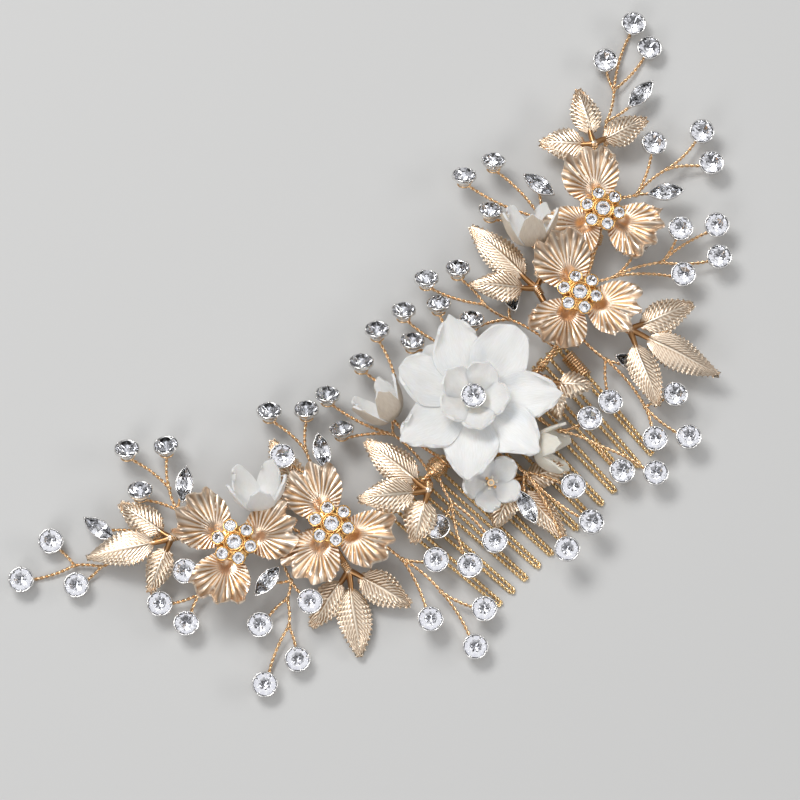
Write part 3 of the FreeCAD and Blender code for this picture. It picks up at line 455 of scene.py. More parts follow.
# ---------------------------------------------------------------- materials
def material(name, colour, rough, metal=0.0, **more):
    """Principled material, and its shader node."""
    mat = bpy.data.materials.new(name)
    mat.use_nodes = True
    shader = mat.node_tree.nodes["Principled BSDF"]
    shader.inputs["Base Color"].default_value = (*colour, 1.0)
    shader.inputs["Roughness"].default_value = rough
    shader.inputs["Metallic"].default_value = metal
    for key, value in more.items():
        shader.inputs[key.replace("_", " ")].default_value = value
    return mat, shader


def link(mat, a, b):
    mat.node_tree.links.new(a, b)


def grain(mat, shader, scale, strength, distance=0.00005, stretch=None):
    """Fine bump from noise; with `stretch`, streaks along the sheet's length."""
    nodes = mat.node_tree.nodes
    coords = nodes.new("ShaderNodeTexCoord")
    noise = nodes.new("ShaderNodeTexNoise")
    bump = nodes.new("ShaderNodeBump")
    noise.inputs["Scale"].default_value = scale
    noise.inputs["Detail"].default_value = 4
    if stretch:
        mapping = nodes.new("ShaderNodeMapping")
        mapping.inputs["Scale"].default_value = stretch
        link(mat, coords.outputs["UV"], mapping.inputs["Vector"])
        link(mat, mapping.outputs["Vector"], noise.inputs["Vector"])
    else:
        link(mat, coords.outputs["Object"], noise.inputs["Vector"])
    bump.inputs["Strength"].default_value = strength
    bump.inputs["Distance"].default_value = distance
    link(mat, noise.outputs["Fac"], bump.inputs["Height"])
    link(mat, bump.outputs["Normal"], shader.inputs["Normal"])
    return noise


def tinted(mat, shader, factor, first, second, low, high):
    """Base colour that goes from `first` to `second` as the factor goes from low to high."""
    ramp = mat.node_tree.nodes.new("ShaderNodeValToRGB")
    ramp.color_ramp.elements[0].position = low
    ramp.color_ramp.elements[0].color = (*first, 1)
    ramp.color_ramp.elements[1].position = high
    ramp.color_ramp.elements[1].color = (*second, 1)
    link(mat, factor, ramp.inputs["Fac"])
    link(mat, ramp.outputs["Color"], shader.inputs["Base Color"])


def painted_crevice_shade_and_ridge_highlight(mat, shader, crevice_shade, light):
    """Painted shade darkens the crevices and painted highlights pale the ridges."""
    geometry = mat.node_tree.nodes.new("ShaderNodeNewGeometry")
    tinted(mat, shader, geometry.outputs["Pointiness"], crevice_shade, light, 0.45, 0.52)


LEAF, leaf_shader = material("champagne_gold_casting", (0.80, 0.62, 0.43), 0.33, 1.0)
grain(LEAF, leaf_shader, 900, 0.25)
# Painted shade in the leaves' crevices and painted highlights on their ridges.
painted_crevice_shade_and_ridge_highlight(LEAF, leaf_shader, (0.42, 0.22, 0.09), (1.0, 0.86, 0.69))
PETAL, petal_shader = material("satin_stamped_gold", (0.86, 0.62, 0.36), 0.34, 1.0)
grain(PETAL, petal_shader, 900, 0.3)
# Painted shade in the petals' crevices and painted highlights on their ridges.
painted_crevice_shade_and_ridge_highlight(PETAL, petal_shader, (0.50, 0.27, 0.11), (1.0, 0.86, 0.71))
WIRE, wire_shader = material("copper_gold_wire", (0.88, 0.61, 0.36), 0.24, 1.0)
grain(WIRE, wire_shader, 1500, 0.2)
COMB, comb_shader = material("gold_comb_wire", (0.90, 0.69, 0.40), 0.24, 1.0)
grain(COMB, comb_shader, 1500, 0.2)
CUP_GOLD, cup_shader = material("orange_gold_setting", (0.86, 0.52, 0.20), 0.22, 1.0)
grain(CUP_GOLD, cup_shader, 1500, 0.15)
SILVER, silver_shader = material("bright_silver_setting", (0.86, 0.85, 0.83), 0.16, 1.0)
grain(SILVER, silver_shader, 1500, 0.1)
FOIL, _ = material("silver_foil", (0.93, 0.93, 0.95), 0.05, 1.0)
GLASS, _ = material("cut_clear_glass", (0.97, 0.98, 1.0), 0.0, IOR=1.62, Transmission_Weight=1.0)
BEAD, _ = material("amber_beads", (0.75, 0.40, 0.12), 0.12, Coat_Weight=0.6)
GLUE, _ = material("yellowed_glue", (0.80, 0.62, 0.30), 0.2, Coat_Weight=0.5)


def white(name, light, shade):
    """Matt bisque with faint streaks along each petal."""
    mat, shader = material(name, light, 0.42, Subsurface_Weight=0.35, Subsurface_Scale=0.0012,
                           Coat_Weight=0.08)
    shader.inputs["Subsurface Radius"].default_value = (1.0, 0.75, 0.55)
    noise = grain(mat, shader, 6.0, 0.55, 0.00012, (1.2, 14.0, 1.0))
    tinted(mat, shader, noise.outputs["Fac"], shade, light, 0.35, 0.65)
    return mat


PORCELAIN = white("bisque_white", (0.86, 0.855, 0.84), (0.79, 0.78, 0.75))
CREAM = white("bisque_cream", (0.84, 0.81, 0.73), (0.76, 0.71, 0.61))
BEIGE = white("bisque_grey_beige", (0.70, 0.63, 0.53), (0.55, 0.47, 0.38))


# ---------------------------------------------------------------- wires and comb
def smooth_curve(points, count):
    """Smooth curve through points (Catmull-Rom)."""
    p = np.asarray(points, float)
    p = np.vstack([2 * p[0] - p[1], p, 2 * p[-1] - p[-2]])
    out = []
    per = max(2, count // (len(p) - 3))
    for k in range(1, len(p) - 2):
        s = np.linspace(0, 1, per, endpoint=k == len(p) - 3)[:, None]
        a, b, c, d = p[k - 1], p[k], p[k + 1], p[k + 2]
        out.append(0.5 * (2 * b + (c - a) * s + (2 * a - 5 * b + 4 * c - d) * s ** 2
                          + (3 * b - a - 3 * c + d) * s ** 3))
    return np.vstack(out)


spine_path = smooth_curve([(x, y, SPINE_HEIGHT - drop) for x, y, drop in SPINE_PATH], 600)


def spine_at(x):
    """Point of the spine near x, and its direction there."""
    k = int(np.searchsorted(spine_path[:, 0], x))
    k = min(max(k, 1), len(spine_path) - 2)
    return spine_path[k], unit(spine_path[k + 1] - spine_path[k - 1])


def beside_spine(x, around, diameter, toward):
    """Where a wire that leaves the spine towards a point starts, seated on its surface."""
    centre, along = spine_at(x)
    side = unit(np.cross(UP, along))
    out = side * math.cos(math.radians(around)) + UP * math.sin(math.radians(around))
    leaving = unit(np.asarray(toward, float) - centre)
    spread = math.sqrt(max(0.0, 1 - (leaving @ out) ** 2))
    return centre + out * (SPINE_WIRE / 2 + SEAT_GAP + diameter / 2 * spread)


spine = Shape()
spine.twist(spine_path, SPINE_WIRE, pitch=3.2, strands=3, sides=8, step=0.25)
spine.build("spine", [WIRE], "spine_wire", "stem_wire")

WRAP_RADIUS = 0.2        # of the fine wire itself
wraps = Shape()
windings = [(first_x, last_x, SPINE_WIRE / 2 + 0.3, 0.45) for first_x, last_x in SPINE_WRAPS]
# The wire-wound bead: a solid core, then three stretches of winding over it.
bead_path = np.linspace(spine_at(-13.6)[0], spine_at(-9.6)[0], 14)
bead_radius = 0.9 + 1.1 * np.sin(np.linspace(0.25, 2.9, 14))
wraps.tube(bead_path, bead_radius, 16)
windings += [(-13.2, -12.2, 1.75, 0.6), (-12.2, -11.0, 2.05, 0.6), (-11.0, -10.0, 1.8, 0.6)]
for first_x, last_x, radius, pitch in windings:
    winding = helix(spine_at(first_x)[0], spine_at(last_x)[0], radius, pitch)
    wraps.tube(winding, WRAP_RADIUS, 6)
wraps.build("spine_windings", [WIRE], "spine_wraps", "stem_wire")

BAR_OVERHANG = 0.8       # past the end teeth
bar = Shape()
half_bar = COMB_HALF + LEG_SPREAD / 2 + TOOTH_WIRE / 2 + BAR_OVERHANG
bar.twist([(-half_bar, 0, BAR_HEIGHT), (half_bar, 0, BAR_HEIGHT)], BAR_WIRE, pitch=2.6, sides=8,
          step=0.25)
bar.build("bar", [COMB], "comb_bar", "comb_wire")

TOOTH_SLOPE = math.asin((BAR_HEIGHT - HOOK_RADIUS - TOOTH_WIRE / 2) / TOOTH_LENGTH)


def on_bar(points, base_x, tip_x):
    """Slope a tooth's points down about the bar and swing them towards the tip."""
    swing = math.atan2(tip_x - base_x, TOOTH_LENGTH)
    x, y, z = np.asarray(points, float).T
    c, s = math.cos(TOOTH_SLOPE), math.sin(TOOTH_SLOPE)
    y, z = y * c - z * s, y * s + z * c
    c, s = math.cos(swing), math.sin(swing)
    x, y = x * c - y * s, x * s + y * c
    return np.stack([x + base_x, y, z + BAR_HEIGHT], axis=1)


def hairpin(spread):
    """Middle line of one tooth: hook over the bar, leg, bend at the tip, and back."""
    half, tip_half = spread / 2, TIP_SPREAD / 2
    reach = TOOTH_LENGTH - tip_half - TOOTH_WIRE / 2
    hook = [(half, HOOK_RADIUS * math.sin(a), -HOOK_RADIUS * math.cos(a))
            for a in np.linspace(math.pi, 0, 14)]
    leg = [(half + (tip_half - half) * s, -reach * s, -HOOK_RADIUS)
           for s in np.linspace(0.02, 1, 20)]
    bend = [(tip_half * math.cos(a), -reach - tip_half * math.sin(a), -HOOK_RADIUS)
            for a in np.linspace(0, math.pi, 9)[1:-1]]
    one = hook + leg
    return one + bend + [(-x, y, z) for x, y, z in one[::-1]]


teeth = Shape()
for index in range(TOOTH_COUNT):
    from_middle = index - (TOOTH_COUNT - 1) / 2
    pin = hairpin(END_LEG_SPREAD if index == TOOTH_COUNT - 1 else LEG_SPREAD)
    teeth.twist(on_bar(pin, from_middle * TOOTH_PITCH, from_middle * TIP_PITCH), TOOTH_WIRE,
                pitch=1.9, phase=index * 1.3, step=0.2)
teeth.build("teeth", [COMB], "comb_teeth", "comb_wire")

end_coil = Shape()
COIL_START, COIL_END = -1.9, -7.4         # along the last tooth
coil_local = helix((0, COIL_START, -HOOK_RADIUS), (0, COIL_END, -HOOK_RADIUS),
                   END_LEG_SPREAD / 2 + 0.7, 0.55)
end_coil.tube(on_bar(coil_local, COMB_HALF, TIPS_HALF), 0.25, 8)
end_coil.build("end_coil", [WIRE], "comb_end_coil", "comb_wire")

# Ties: in every third gap between teeth, three turns of wire round the bar and the spine.
ties = Shape()
tie_radius = max(BAR_WIRE, SPINE_WIRE) / 2 + 0.25 + SEAT_GAP
half_turn = np.linspace(0, math.pi, 12)
for gap in range(1, TOOTH_COUNT - 1, 3):
    x = (gap + 0.5 - (TOOTH_COUNT - 1) / 2) * TOOTH_PITCH
    loop = [(x, tie_radius * math.cos(a), SPINE_HEIGHT + tie_radius * math.sin(a))
            for a in half_turn]
    loop += [(x, -tie_radius * math.cos(a), BAR_HEIGHT - tie_radius * math.sin(a))
             for a in half_turn]
    for shift in (-0.26, 0.0, 0.26):
        ties.tube(np.array(loop) + [shift, 0, 0], 0.14, 6, closed=True)
ties.build("ties", [WIRE], "stem_ties", "comb_wire")


# ---------------------------------------------------------------- stones
GIRDLE = 0.15            # height of every stone's band


def brilliant(radius, crown, pavilion):
    """Round cut stone with its band above z = 0: points and faces."""
    def ring(count, r, z, shift=0.0):
        turns = [2 * math.pi * (k + shift) / count for k in range(count)]
        return [(r * math.cos(a), r * math.sin(a), z) for a in turns]
    pts = ring(8, radius * 0.56, GIRDLE + crown)
    pts += ring(8, radius * 0.82, GIRDLE + crown * 0.42, 0.5)
    pts += ring(16, radius, GIRDLE) + ring(16, radius, 0)
    pts += ring(8, radius * 0.52, -pavilion * 0.5, 0.5)
    pts += [(0, 0, -pavilion)]
    # First point of the table, mid crown, girdle top and bottom, mid pavilion; the tip.
    t, m, g, h, p, c = 0, 8, 16, 32, 48, 56
    faces = [tuple(range(8))]
    for i in range(8):
        j, before = (i + 1) % 8, (i - 1) % 8
        a, b, d = 2 * i, 2 * i + 1, (2 * i + 2) % 16
        faces += [(t + i, m + i, t + j), (t + i, m + before, g + a, m + i),
                  (m + i, g + a, g + b), (m + i, g + b, g + d),
                  (h + a, p + before, c, p + i), (h + a, p + i, h + b), (h + b, p + i, h + d)]
        faces += [(g + a, h + a, h + b, g + b), (g + b, h + b, h + d, g + d)]
    return np.array(pts), faces


def marquise(length, width, crown, pavilion):
    """Pointed oval stone, its rim first: points and faces."""
    n = 12
    rim = []
    for k in range(n):
        a = 2 * math.pi * k / n
        x = math.cos(a) * (0.5 + 0.5 * abs(math.cos(a)) ** 0.3)
        y = math.copysign(width / 2 * (1 - x ** 2), math.sin(a)) if abs(x) < 0.999 else 0.0
        rim.append((length / 2 * x, y))
    pts = [(x, y, 0.0) for x, y in rim]
    for scale, z in ((1.0, GIRDLE), (0.78, GIRDLE + crown * 0.6), (0.5, GIRDLE + crown)):
        pts += [(x * scale, y * scale, z) for x, y in rim]
    pts += [(x * 0.5, y * 0.42, -pavilion * 0.7) for x, y in rim]
    pts += [(length * s, 0, -pavilion) for s in (0.12, -0.12)]
    faces = [tuple(3 * n + k for k in range(n))]
    for level in (0, 1, 2):
        for k in range(n):
            j = (k + 1) % n
            a, b = level * n + k, level * n + j
            c, d = (level + 1) * n + j, (level + 1) * n + k
            faces += [(a, b, c, d)] if level == 0 else [(a, b, c), (a, c, d)]
    for k in range(n):
        j = (k + 1) % n
        faces.append((j, k, 4 * n + k, 4 * n + j))
        tip = 5 * n if math.cos(2 * math.pi * (k + 0.5) / n) > 0 else 5 * n + 1
        faces.append((4 * n + j, 4 * n + k, tip))
    faces += [(4 * n + 3, 5 * n, 5 * n + 1), (4 * n + 9, 5 * n + 1, 5 * n)]
    return np.array(pts), faces


def claw(cups, place, x, y, z, size, normal):
    """Flattened ball that holds a stone's edge."""
    cups.ball(place(np.array([[x, y, z]]))[0], size, 0, 0.6, normal, 5, 8)


def stone_and_cup(stones, cups, centre, normal, turn, radius=STONE_DIAMETER / 2, crown=0.95,
                  pavilion=1.6, wall=0.2, claws=4):
    """Cut stone over a foiled cone, in a thin cup with claws."""
    place = placer(centre, normal, turn)
    pts, faces = brilliant(radius, crown, pavilion)
    stones.add(place(pts), faces, 0, smooth=False)
    inner, outer = radius + 0.04, radius + 0.04 + wall
    lip, foot = (inner - 0.05, 0.16), (outer * 0.45, -pavilion - 0.22)
    cups.lathe([foot, (outer * 0.8, -pavilion * 0.62), (outer, -0.4), (outer, 0.12),
                (outer - 0.03, 0.22), (inner, 0.24), lip], place)
    cups.lathe([lip, (inner, 0.0), (0.02, -pavilion - 0.03)], place, 1, sides=8, smooth=False)
    cups.lathe([(0.02, -pavilion - 0.24), foot], place)
    for k in range(claws):
        a = 2 * math.pi * (k + 0.5) / claws
        claw(cups, place, (radius - 0.02) * math.cos(a), (radius - 0.02) * math.sin(a), 0.34,
             0.30 if radius > 2 else 0.17, normal)


def marquise_and_cup(stones, cups, centre, turn):
    """Pointed oval stone over foil, in a thin cup with a claw at each end and side."""
    place = placer(centre, UP, turn)
    pts, faces = marquise(MARQUISE_LENGTH, MARQUISE_WIDTH, 0.8, 1.2)
    stones.add(place(pts), faces, 0, smooth=False)
    rim = pts[:12]

    def scaled(sx, sy, z):
        return [(x * sx, y * sy, z) for x, y, _ in rim]

    foot, lip = scaled(0.4, 0.3, -1.42), scaled(1.01, 1.02, 0.16)
    outside = [foot, scaled(0.8, 0.75, -0.9), scaled(1.09, 1.16, -0.35), scaled(1.09, 1.16, 0.2),
               scaled(1.03, 1.05, 0.26), lip]
    cups.grid(place(np.array(outside)), 0, wrap_cols=True)
    inside = [lip, scaled(1.01, 1.02, -0.02), scaled(0.3, 0.1, -1.25)]
    cups.grid(place(np.array(inside)), 1, wrap_cols=True, smooth=False)
    cups.add(place(np.array(foot)), [tuple(range(12))], 0)
    for sx, sy in ((1, 0), (-1, 0), (0, 1), (0, -1)):
        claw(cups, place, sx * MARQUISE_LENGTH / 2 * 0.98, sy * MARQUISE_WIDTH / 2, 0.32, 0.26, UP)


def lean_normal(lean):
    """Direction of a stone's face that leans `lean` degrees from +Z."""
    tilt = math.radians(lean)
    across = math.sin(tilt) * math.sqrt(0.5)
    return np.array([across, across, math.cos(tilt)])


def wire_end(start, centre, normal, back, inset):
    """Where a stem ends behind a stone's cup, `inset` towards where it comes from."""
    under = np.asarray(centre) - normal * (back + STEM_WIRE / 2 + 0.12)
    inward = start - under
    inward = inward - normal * (inward @ normal)
    return under + unit(inward) * inset


gem_shapes = {side: (Shape(), Shape()) for side in ("left", "middle", "right")}
marquise_stones, marquise_cups = Shape(), Shape()
for name, rows in SPRAYS.items():
    _, root_x, around = rows[0]
    ends = [beside_spine(root_x, around, STEM_WIRE, rows[1][2:5])]
    spray = Shape()
    for index, row in enumerate(rows[1:], 1):
        kind, parent = row[0], row[1]
        centre = np.array(row[2:5], float)
        end = centre
        if kind == "round":
            normal = lean_normal(row[5])
            end = wire_end(ends[parent], centre, normal, STONE_BACK, STONE_DIAMETER * 0.22)
            side = "middle"
            if abs(centre[0]) > COMB_HALF:
                side = "left" if centre[0] < 0 else "right"
            tipped = unit(normal + rng.normal(0, 0.05, 3))
            stone_and_cup(*gem_shapes[side], centre, tipped, rng.uniform(0, FULL_TURN))
            behind = placer(centre - normal * (STONE_BACK + 0.3), normal)
            spray.tube(behind(circle(1.25, 24)), 0.2, 6, closed=True)
        elif kind == "marquise":
            end = wire_end(ends[parent], centre, UP, MARQUISE_BACK, MARQUISE_WIDTH * 0.3)
            marquise_and_cup(marquise_stones, marquise_cups, centre, math.radians(row[5]))
        else:
            spray.ball(centre, 0.5)
        ends.append(end)
        spray.twist(bowed(ends[parent], end, 0.05 * (-1) ** index), TWIST_WIDTH, pitch=2.2,
                    phase=rng.uniform(0, FULL_TURN))
    spray.build("stems_" + name, [WIRE], "spray_" + name, "stem_wire")
for side, (stones, cups) in gem_shapes.items():
    stones.build("stones_" + side, [GLASS], "round_stones_" + side, "clear_stone")
    cups.build("cups_" + side, [SILVER, FOIL], "round_cups_" + side, "silver_setting")
marquise_stones.build("stones_marquise", [GLASS], "marquise_stones", "clear_stone")
marquise_cups.build("cups_marquise", [SILVER, FOIL], "marquise_cups", "silver_setting")


# ---------------------------------------------------------------- leaves
LEAF_WIDTH = 7.0


def leaf(shape, base, tip, width, curl, tag):
    """Toothed oval blade with fine slanting veins and a raised midrib."""
    base, tip = np.asarray(base, float), np.asarray(tip, float)
    span = tip - base
    length = np.linalg.norm(span)
    side = unit(np.cross(UP, span))
    lift = unit(np.cross(span, side))
    s = np.linspace(0, 1, 110)[:, None]
    t = np.linspace(-1, 1, 37)[None, :]
    slant = 0.30 * width / 6
    veins = length * 1.05       # about one vein per millimetre
    ridge = 0.5 + 0.5 * np.cos(2 * math.pi * veins * (s - slant * np.abs(t)))
    edge = 1 + 0.055 * np.cos(2 * math.pi * veins * (s - slant)) * np.sin(math.pi * s)
    half = width / 2 * (0.05 + 0.95 * np.sin(math.pi * s ** 0.76) ** 0.9) * (1 - 0.05 * s)
    bend = curl * 0.8 * np.sin(math.pi * s * 0.9) * (s - 0.3)
    rise = 0.7 * np.sin(math.pi * s) + 0.3 - 0.7 * np.abs(t) ** 1.6
    rib = 0.30 * np.exp(-(t / 0.09) ** 2) * (1 - 0.6 * s)
    relief = 0.16 * ridge * np.clip(7 * np.abs(t) - 0.4, 0, 1) * np.clip(8 * s, 0, 1)
    flap = 0.5 * np.abs(t) ** 3 * np.sin(2 * math.pi * s + curl * 3) * np.sign(curl)
    pts = (base + span * s[..., None] + side * (half * edge * t + bend)[..., None]
           + lift * (rise + rib + relief + flap - 0.1)[..., None])
    shape.blade(pts, 0.5, tag=tag)


for name, ((root_x, around), spring, leaves) in SPRIGS.items():
    sprig = Shape()
    spring = np.array(spring, float)
    stalk = beside_spine(root_x, around, 1.1, spring)
    sprig.tube(bowed(stalk, spring, 0.02), np.linspace(0.55, 0.7, 24), 10)
    sprig.tube(helix(spring - unit(spring - stalk) * 1.8, spring, 0.75, 0.4), 0.16, 6, 1)
    sprig.ball(spring, 0.95, squash=0.8, rings=8, sides=14)
    for k, (tip, scale) in enumerate(leaves):
        away = unit(np.array(tip) - spring)
        blade_base = spring + (np.array(tip) - spring) * 0.2
        leaf_stalk = bowed(spring, blade_base + away * 1.2, 0.03, 10)
        sprig.tube(leaf_stalk, np.linspace(0.72, 0.45, 10), 10)
        curl = rng.uniform(0.5, 1.0) * (-1) ** k
        leaf(sprig, blade_base, tip, LEAF_WIDTH * scale, curl, k * TAG_STEP)
    sprig.build("leaves_" + name, [LEAF, WIRE], name, "gold_leaf")


# ---------------------------------------------------------------- petals
RIDGES, PIT = 30, 4.6    # ridges in a whole turn, and how far out the point is they fan from


def petal(shape, place, heading, near, far, half_width, height, thickness, rows, cols,
          taper=0.0, ridge=0.0, frill=0.0, lip=0.0, fold=0.0, skew=0.0, hollow=0.0, wave=0.0,
          point=0.0, phase=0.0, tag=0.0):
    """One petal round +Z, from `near` to `far` out; `height(r)` is its middle line.

    Size of each other feature: taper towards the tip, fanned ridges, frilled sides, curled
    lip, fold along the middle, skew across, hollow face, wavy edge and pointed tip.
    """
    u = np.linspace(0, 1, rows)[:, None]
    t = np.linspace(-1, 1, cols)[None, :]
    narrowing = 1 - taper * np.clip((u - 0.6) / 0.4, 0, 1) ** 1.5
    swell = np.sin(math.pi / 2 * np.clip(u / 0.72, 0, 1)) ** 1.2 * narrowing
    width = half_width * (0.24 + 0.76 * swell)
    outline = (1 - 0.17 * np.abs(t) ** 2.4 - wave * np.cos(3 * math.pi * t + phase) * u ** 3
               + point * np.exp(-(t / 0.3) ** 2) * u ** 3)
    reach = near + (far - near) * u * outline
    across = width * t
    radial = np.sqrt(np.maximum(reach ** 2 - (across * 0.35) ** 2, 0.01))
    z = height(radial)
    z = z + frill * np.sin(2.3 * math.pi * t + phase) * u ** 2 + skew * t * u
    z = z + hollow * t ** 2 * u - fold * np.exp(-(t / 0.22) ** 2) * u * (1 - 0.5 * u)
    if ridge:
        fan, spread = np.arctan2(across, radial - PIT), np.hypot(across, radial - PIT)
        z = z + ridge * np.cos(RIDGES * fan) * np.clip(spread / 3.2 - 0.1, 0, 1)
        z = z - 0.5 * np.exp(-(spread / 1.6) ** 2)
    curl = 0.6 + 0.4 * np.cos(2 * math.pi * t + phase)
    z = z + lip * np.clip((u - 0.82) / 0.18, 0, 1) ** 2 * curl
    c, s = math.cos(heading), math.sin(heading)
    pts = np.stack([radial * c - across * s, radial * s + across * c, z], axis=2)
    shape.blade(place(pts), thickness, tag=tag)


def bowl(rise, far):
    """Middle line that curves up to `rise` at `far`."""
    return lambda r: rise * np.clip(r / far, 0, 1.2) ** 2


def flower_foot(x):
    """Height of the spine's top where a gold flower sits."""
    return spine_at(x)[0][2] + SPINE_WIRE / 2 + SEAT_GAP


for name, (x, y, gold_petals) in GOLD_FLOWERS.items():
    flower = Shape()
    place = placer((x, y, flower_foot(x) + 1.55))
    for k, (turn, rise) in enumerate(gold_petals):
        petal(flower, place, math.radians(turn), 1.2, 12.2, 5.8, bowl(rise, 11.8), 0.45, 64, 79,
              ridge=0.17, frill=0.7, lip=rng.choice([-0.9, 0.7]), fold=0.6, wave=0.06,
              phase=rng.uniform(0, FULL_TURN), tag=k * TAG_STEP)
    flower.lathe([(3.4, -0.05), (3.0, 0.1), (1.2, 0.12)], place, sides=24)
    flower.build("petals_" + name, [PETAL], name, "gold_petal")

# Each gold flower's cluster: a plate on a post, a ring of wire, and a stone with six round it.
RING_DROP, RING_STONES, CLUSTER_RADIUS = 0.15, 6, 3.3
cluster_cups, cluster_stones = Shape(), Shape()
for x, y, _ in GOLD_FLOWERS.values():
    foot = flower_foot(x)
    plate = foot + 2.1
    seat = plate + 1.7
    cluster_cups.lathe([(1.1, foot), (1.1, plate), (3.2, plate), (3.6, plate + 0.2),
                        (3.2, plate + 0.45), (0.1, plate + 0.5)], placer((x, y, 0)))
    cluster_cups.tube(placer((x, y, seat - RING_DROP))(circle(2.05, 36)), 0.28, 8, closed=True)
    stone_and_cup(cluster_stones, cluster_cups, (x, y, seat), UP, 0.2, radius=1.5, crown=0.65,
                  pavilion=1.15, wall=0.25, claws=6)
    for k in range(RING_STONES):
        a = 2 * math.pi * k / RING_STONES
        c, s = math.cos(a), math.sin(a)
        spot = (x + CLUSTER_RADIUS * c, y + CLUSTER_RADIUS * s, seat - RING_DROP)
        outward = unit((0.15 * c, 0.15 * s, 1))
        stone_and_cup(cluster_stones, cluster_cups, spot, outward, k, radius=1.2, crown=0.5,
                      pavilion=0.9)
cluster_cups.build("cups_gold_flowers", [CUP_GOLD, FOIL], "gold_flower_cups", "gold_petal")
cluster_stones.build("stones_gold_flowers", [GLASS], "gold_flower_stones", "clear_stone")

# White flower: the outer petals, a small one tucked under them, five upright inner ones.
main_z = SPINE_HEIGHT + SPINE_WIRE / 2 + 2.2
outer = Shape()
for k, (heading, length, half, taper) in enumerate(MAIN_PETALS):
    petal(outer, placer((*MAIN_FLOWER, main_z + 0.8)), math.radians(heading), 1.4, length, half,
          bowl(3.5, 16.5), 0.6, 56, 37, taper=taper, skew=0.45, hollow=0.7, frill=0.2,
          lip=(-1) ** k * 0.3, point=0.06 if taper > 0.55 else 0.0,
          phase=rng.uniform(0, FULL_TURN), tag=k * TAG_STEP)
petal(outer, placer((*MAIN_FLOWER, main_z + 0.1)), math.radians(86), 4.0, 14.2, 3.4,
      bowl(2.6, 16.5), 0.5, 40, 25, taper=0.7, hollow=0.4, tag=8 * TAG_STEP)
outer.build("main_outer_petals", [PORCELAIN], "main_flower_outer_petals", "white_petal")

inner = Shape()
inner_z = main_z + 0.85
for k in range(5):
    petal(inner, placer((*MAIN_FLOWER, inner_z + 0.8)), math.radians(20 + 72 * k), 1.3, 6.6, 3.5,
          lambda r: 3.7 * np.clip((r - 1.2) / 5.3, 0, 1.1) ** 1.3, 0.5, 30, 27, taper=0.35,
          skew=0.3, hollow=0.8, frill=0.12, point=0.08, phase=k, tag=k * TAG_STEP)
inner.build("main_inner_petals", [PORCELAIN], "main_flower_inner_petals", "white_petal")

# Its stone, on a post with a collar of glue, and the neck that holds it to the spine.
centre_cup, centre_stone = Shape(), Shape()
stone_z = inner_z + 1.8 + STONE_BACK
stone_and_cup(centre_stone, centre_cup, (*MAIN_FLOWER, stone_z), UP, 0.3)
centre_cup.lathe([(1.1, SPINE_HEIGHT - 0.4), (1.1, inner_z + 0.9), (1.8, inner_z + 0.9),
                  (1.9, inner_z + 1.15), (1.1, inner_z + 1.4), (1.0, stone_z - STONE_BACK)],
                 placer((*MAIN_FLOWER, 0)), 2)
centre_cup.build("main_centre_cup", [SILVER, FOIL, GLUE], "main_flower_centre_cup", "silver_setting")
centre_stone.build("main_centre_stone", [GLASS], "main_flower_centre_stone", "clear_stone")
neck = Shape()
neck.twist([(MAIN_FLOWER[0], 0.65, SPINE_HEIGHT),
            (MAIN_FLOWER[0], MAIN_FLOWER[1] - 1.15, SPINE_HEIGHT)], STEM_WIRE)
neck.build("main_neck", [WIRE], "main_flower_neck", "stem_wire")

# White buds on their stems, with the material of each one's two sides.
bud_looks = {"white_bud_1": (PORCELAIN, PORCELAIN), "white_bud_2": (PORCELAIN, BEIGE),
             "white_bud_3": (PORCELAIN, BEIGE), "white_bud_4": (CREAM, CREAM),
             "white_bud_5": (PORCELAIN, CREAM)}
stems, beads = Shape(), Shape()
for name, (foot, turn, rise, radius, height, (root_x, around)) in BUDS.items():
    flat = math.cos(math.radians(rise))
    axis = np.array([math.cos(math.radians(turn)) * flat, math.sin(math.radians(turn)) * flat,
                     math.sin(math.radians(rise))])
    place = placer(foot, axis)
    bud = Shape()
    for k in range(5):
        u = np.linspace(0, 1, 30)[:, None]
        t = np.linspace(-1, 1, 25)[None, :]
        grow = u * (1.04 - 0.14 * np.abs(t) ** 2)
        r = 0.8 * (1 - grow) ** 2 + 2 * radius * grow * (1 - grow) + radius * grow ** 2
        r = r * (1 + 0.05 * t * np.sin(math.pi * u)) + 0.7 * grow ** 4
        spread = math.pi / 5 * (1.2 - 0.68 * u ** 3)
        a = math.radians(18 + 72 * k) + spread * t
        z = height * grow ** 2 + 0.15 * np.sin(2 * math.pi * t + k) * u ** 3
        pts = np.stack([r * np.cos(a), r * np.sin(a), z], axis=2)
        bud.blade(place(pts), 0.5, 0, 1, k * TAG_STEP)
    bud.build("petals_" + name, list(bud_looks[name]), name, "white_petal")
    peg_low, peg_top = np.array(foot) - axis * 0.6, np.array(foot) + axis * 1.2
    stems.tube([peg_low, (peg_low + peg_top) / 2, peg_top], 0.72, 12)
    stem_end = np.array(foot) - axis * 0.4
    stems.twist(bowed(beside_spine(root_x, around, STEM_WIRE, stem_end), stem_end, 0.05), STEM_WIRE)
    for k in range(6):
        a = 2 * math.pi * k / 6
        spot = place(np.array([[1.15 * math.cos(a), 1.15 * math.sin(a), 1.1]]))[0]
        beads.ball(spot, 0.36, 0 if k % 3 == 0 else 1)
    beads.ball(place(np.array([[0, 0, 1.5]]))[0], 0.4, 1)
stems.build("bud_stalks", [WIRE], "bud_stems", "stem_wire")
beads.build("stamen_beads", [BEAD, CREAM], "bud_beads", "amber_bead")

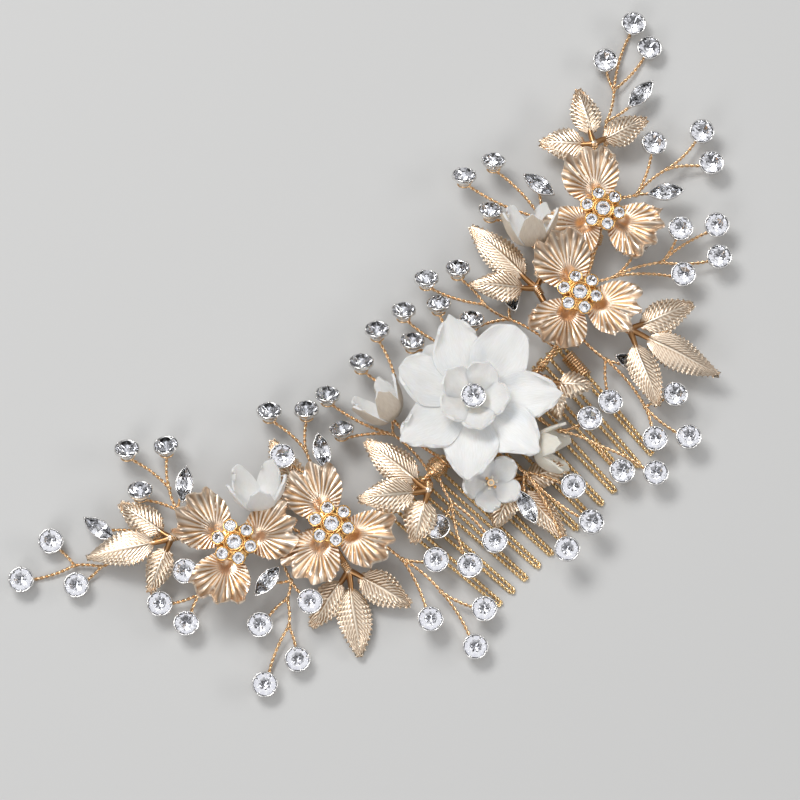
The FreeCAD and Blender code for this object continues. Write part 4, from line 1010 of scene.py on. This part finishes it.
# ---------------------------------------------------------------- stage, light and camera
HALF_FLOOR = 3           # metres
floor_mesh = bpy.data.meshes.new("floor")
corners = [(x * HALF_FLOOR, y * HALF_FLOOR, 0) for x, y in ((-1, -1), (1, -1), (1, 1), (-1, 1))]
floor_mesh.from_pydata(corners, [], [(0, 1, 2, 3)])
floor = bpy.data.objects.new("floor", floor_mesh)
bpy.context.scene.collection.objects.link(floor)
FLOOR, floor_shader = material("pale_floor", (0.60, 0.60, 0.59), 0.9, 0.0)
floor_shader.inputs["Specular IOR Level"].default_value = 0.1
floor_mesh.materials.append(FLOOR)

# Grey sky with a bright cap and a bright ring, so the stones have something to mirror.
SKY_BOTTOM, SKY_TOP = (0.0, (0.5, 0.5, 0.51, 1)), (0.92, (1.0, 1.0, 1.02, 1))
SKY_LEVELS = ((0.22, 0.06), (0.40, 0.06), (0.52, 0.60), (0.62, 0.60), (0.72, 0.10), (0.84, 0.16))
world = bpy.data.worlds.new("studio")
bpy.context.scene.world = world
world.use_nodes = True
world_nodes = world.node_tree.nodes
background = world_nodes["Background"]
background.inputs["Strength"].default_value = 1.0
sky = world_nodes.new("ShaderNodeTexCoord")
split = world_nodes.new("ShaderNodeSeparateXYZ")
ramp = world_nodes.new("ShaderNodeValToRGB")
world.node_tree.links.new(sky.outputs["Generated"], split.inputs["Vector"])
world.node_tree.links.new(split.outputs["Z"], ramp.inputs["Fac"])
world.node_tree.links.new(ramp.outputs["Color"], background.inputs["Color"])
for end, (position, colour) in enumerate((SKY_BOTTOM, SKY_TOP)):
    ramp.color_ramp.elements[end].position = position
    ramp.color_ramp.elements[end].color = colour
for position, level in SKY_LEVELS:
    step = ramp.color_ramp.elements.new(position)
    step.color = (level, level, level * 1.03, 1)


def soft_box(name, place, target, size, power):
    """Rectangular lamp that faces the target; metres and watts."""
    light = bpy.data.lights.new(name, "AREA")
    light.shape = "RECTANGLE"
    light.size, light.size_y = size
    light.energy = power
    lamp = bpy.data.objects.new(name, light)
    lamp.location = place
    lamp.rotation_euler = (Vector(target) - Vector(place)).to_track_quat("-Z", "Y").to_euler()
    bpy.context.scene.collection.objects.link(lamp)


soft_box("key", (0.05, 0.55, 0.75), (0, 0.01, 0), (0.45, 0.30), 4.6)
soft_box("fill", (-0.65, -0.15, 0.5), (0, 0.01, 0), (0.3, 0.5), 1.5)
soft_box("rim", (0.55, -0.5, 0.35), (0, 0.01, 0), (0.5, 0.12), 1.4)

camera_data = bpy.data.cameras.new("camera")
camera = bpy.data.objects.new("camera", camera_data)
camera_data.lens = 135
camera_data.sensor_width = 36
camera_data.clip_start = 0.01
elevation, azimuth, distance = math.radians(76), math.radians(-45), 0.6
target = Vector((-0.007, 0.015, 0.005))
away = Vector((math.sin(azimuth) * math.cos(elevation), -math.cos(azimuth) * math.cos(elevation),
               math.sin(elevation)))
camera.location = target + away * distance
camera.rotation_euler = away.to_track_quat("Z", "Y").to_euler()
bpy.context.scene.collection.objects.link(camera)
bpy.context.scene.camera = camera
bpy.context.scene.view_settings.view_transform = "Standard"
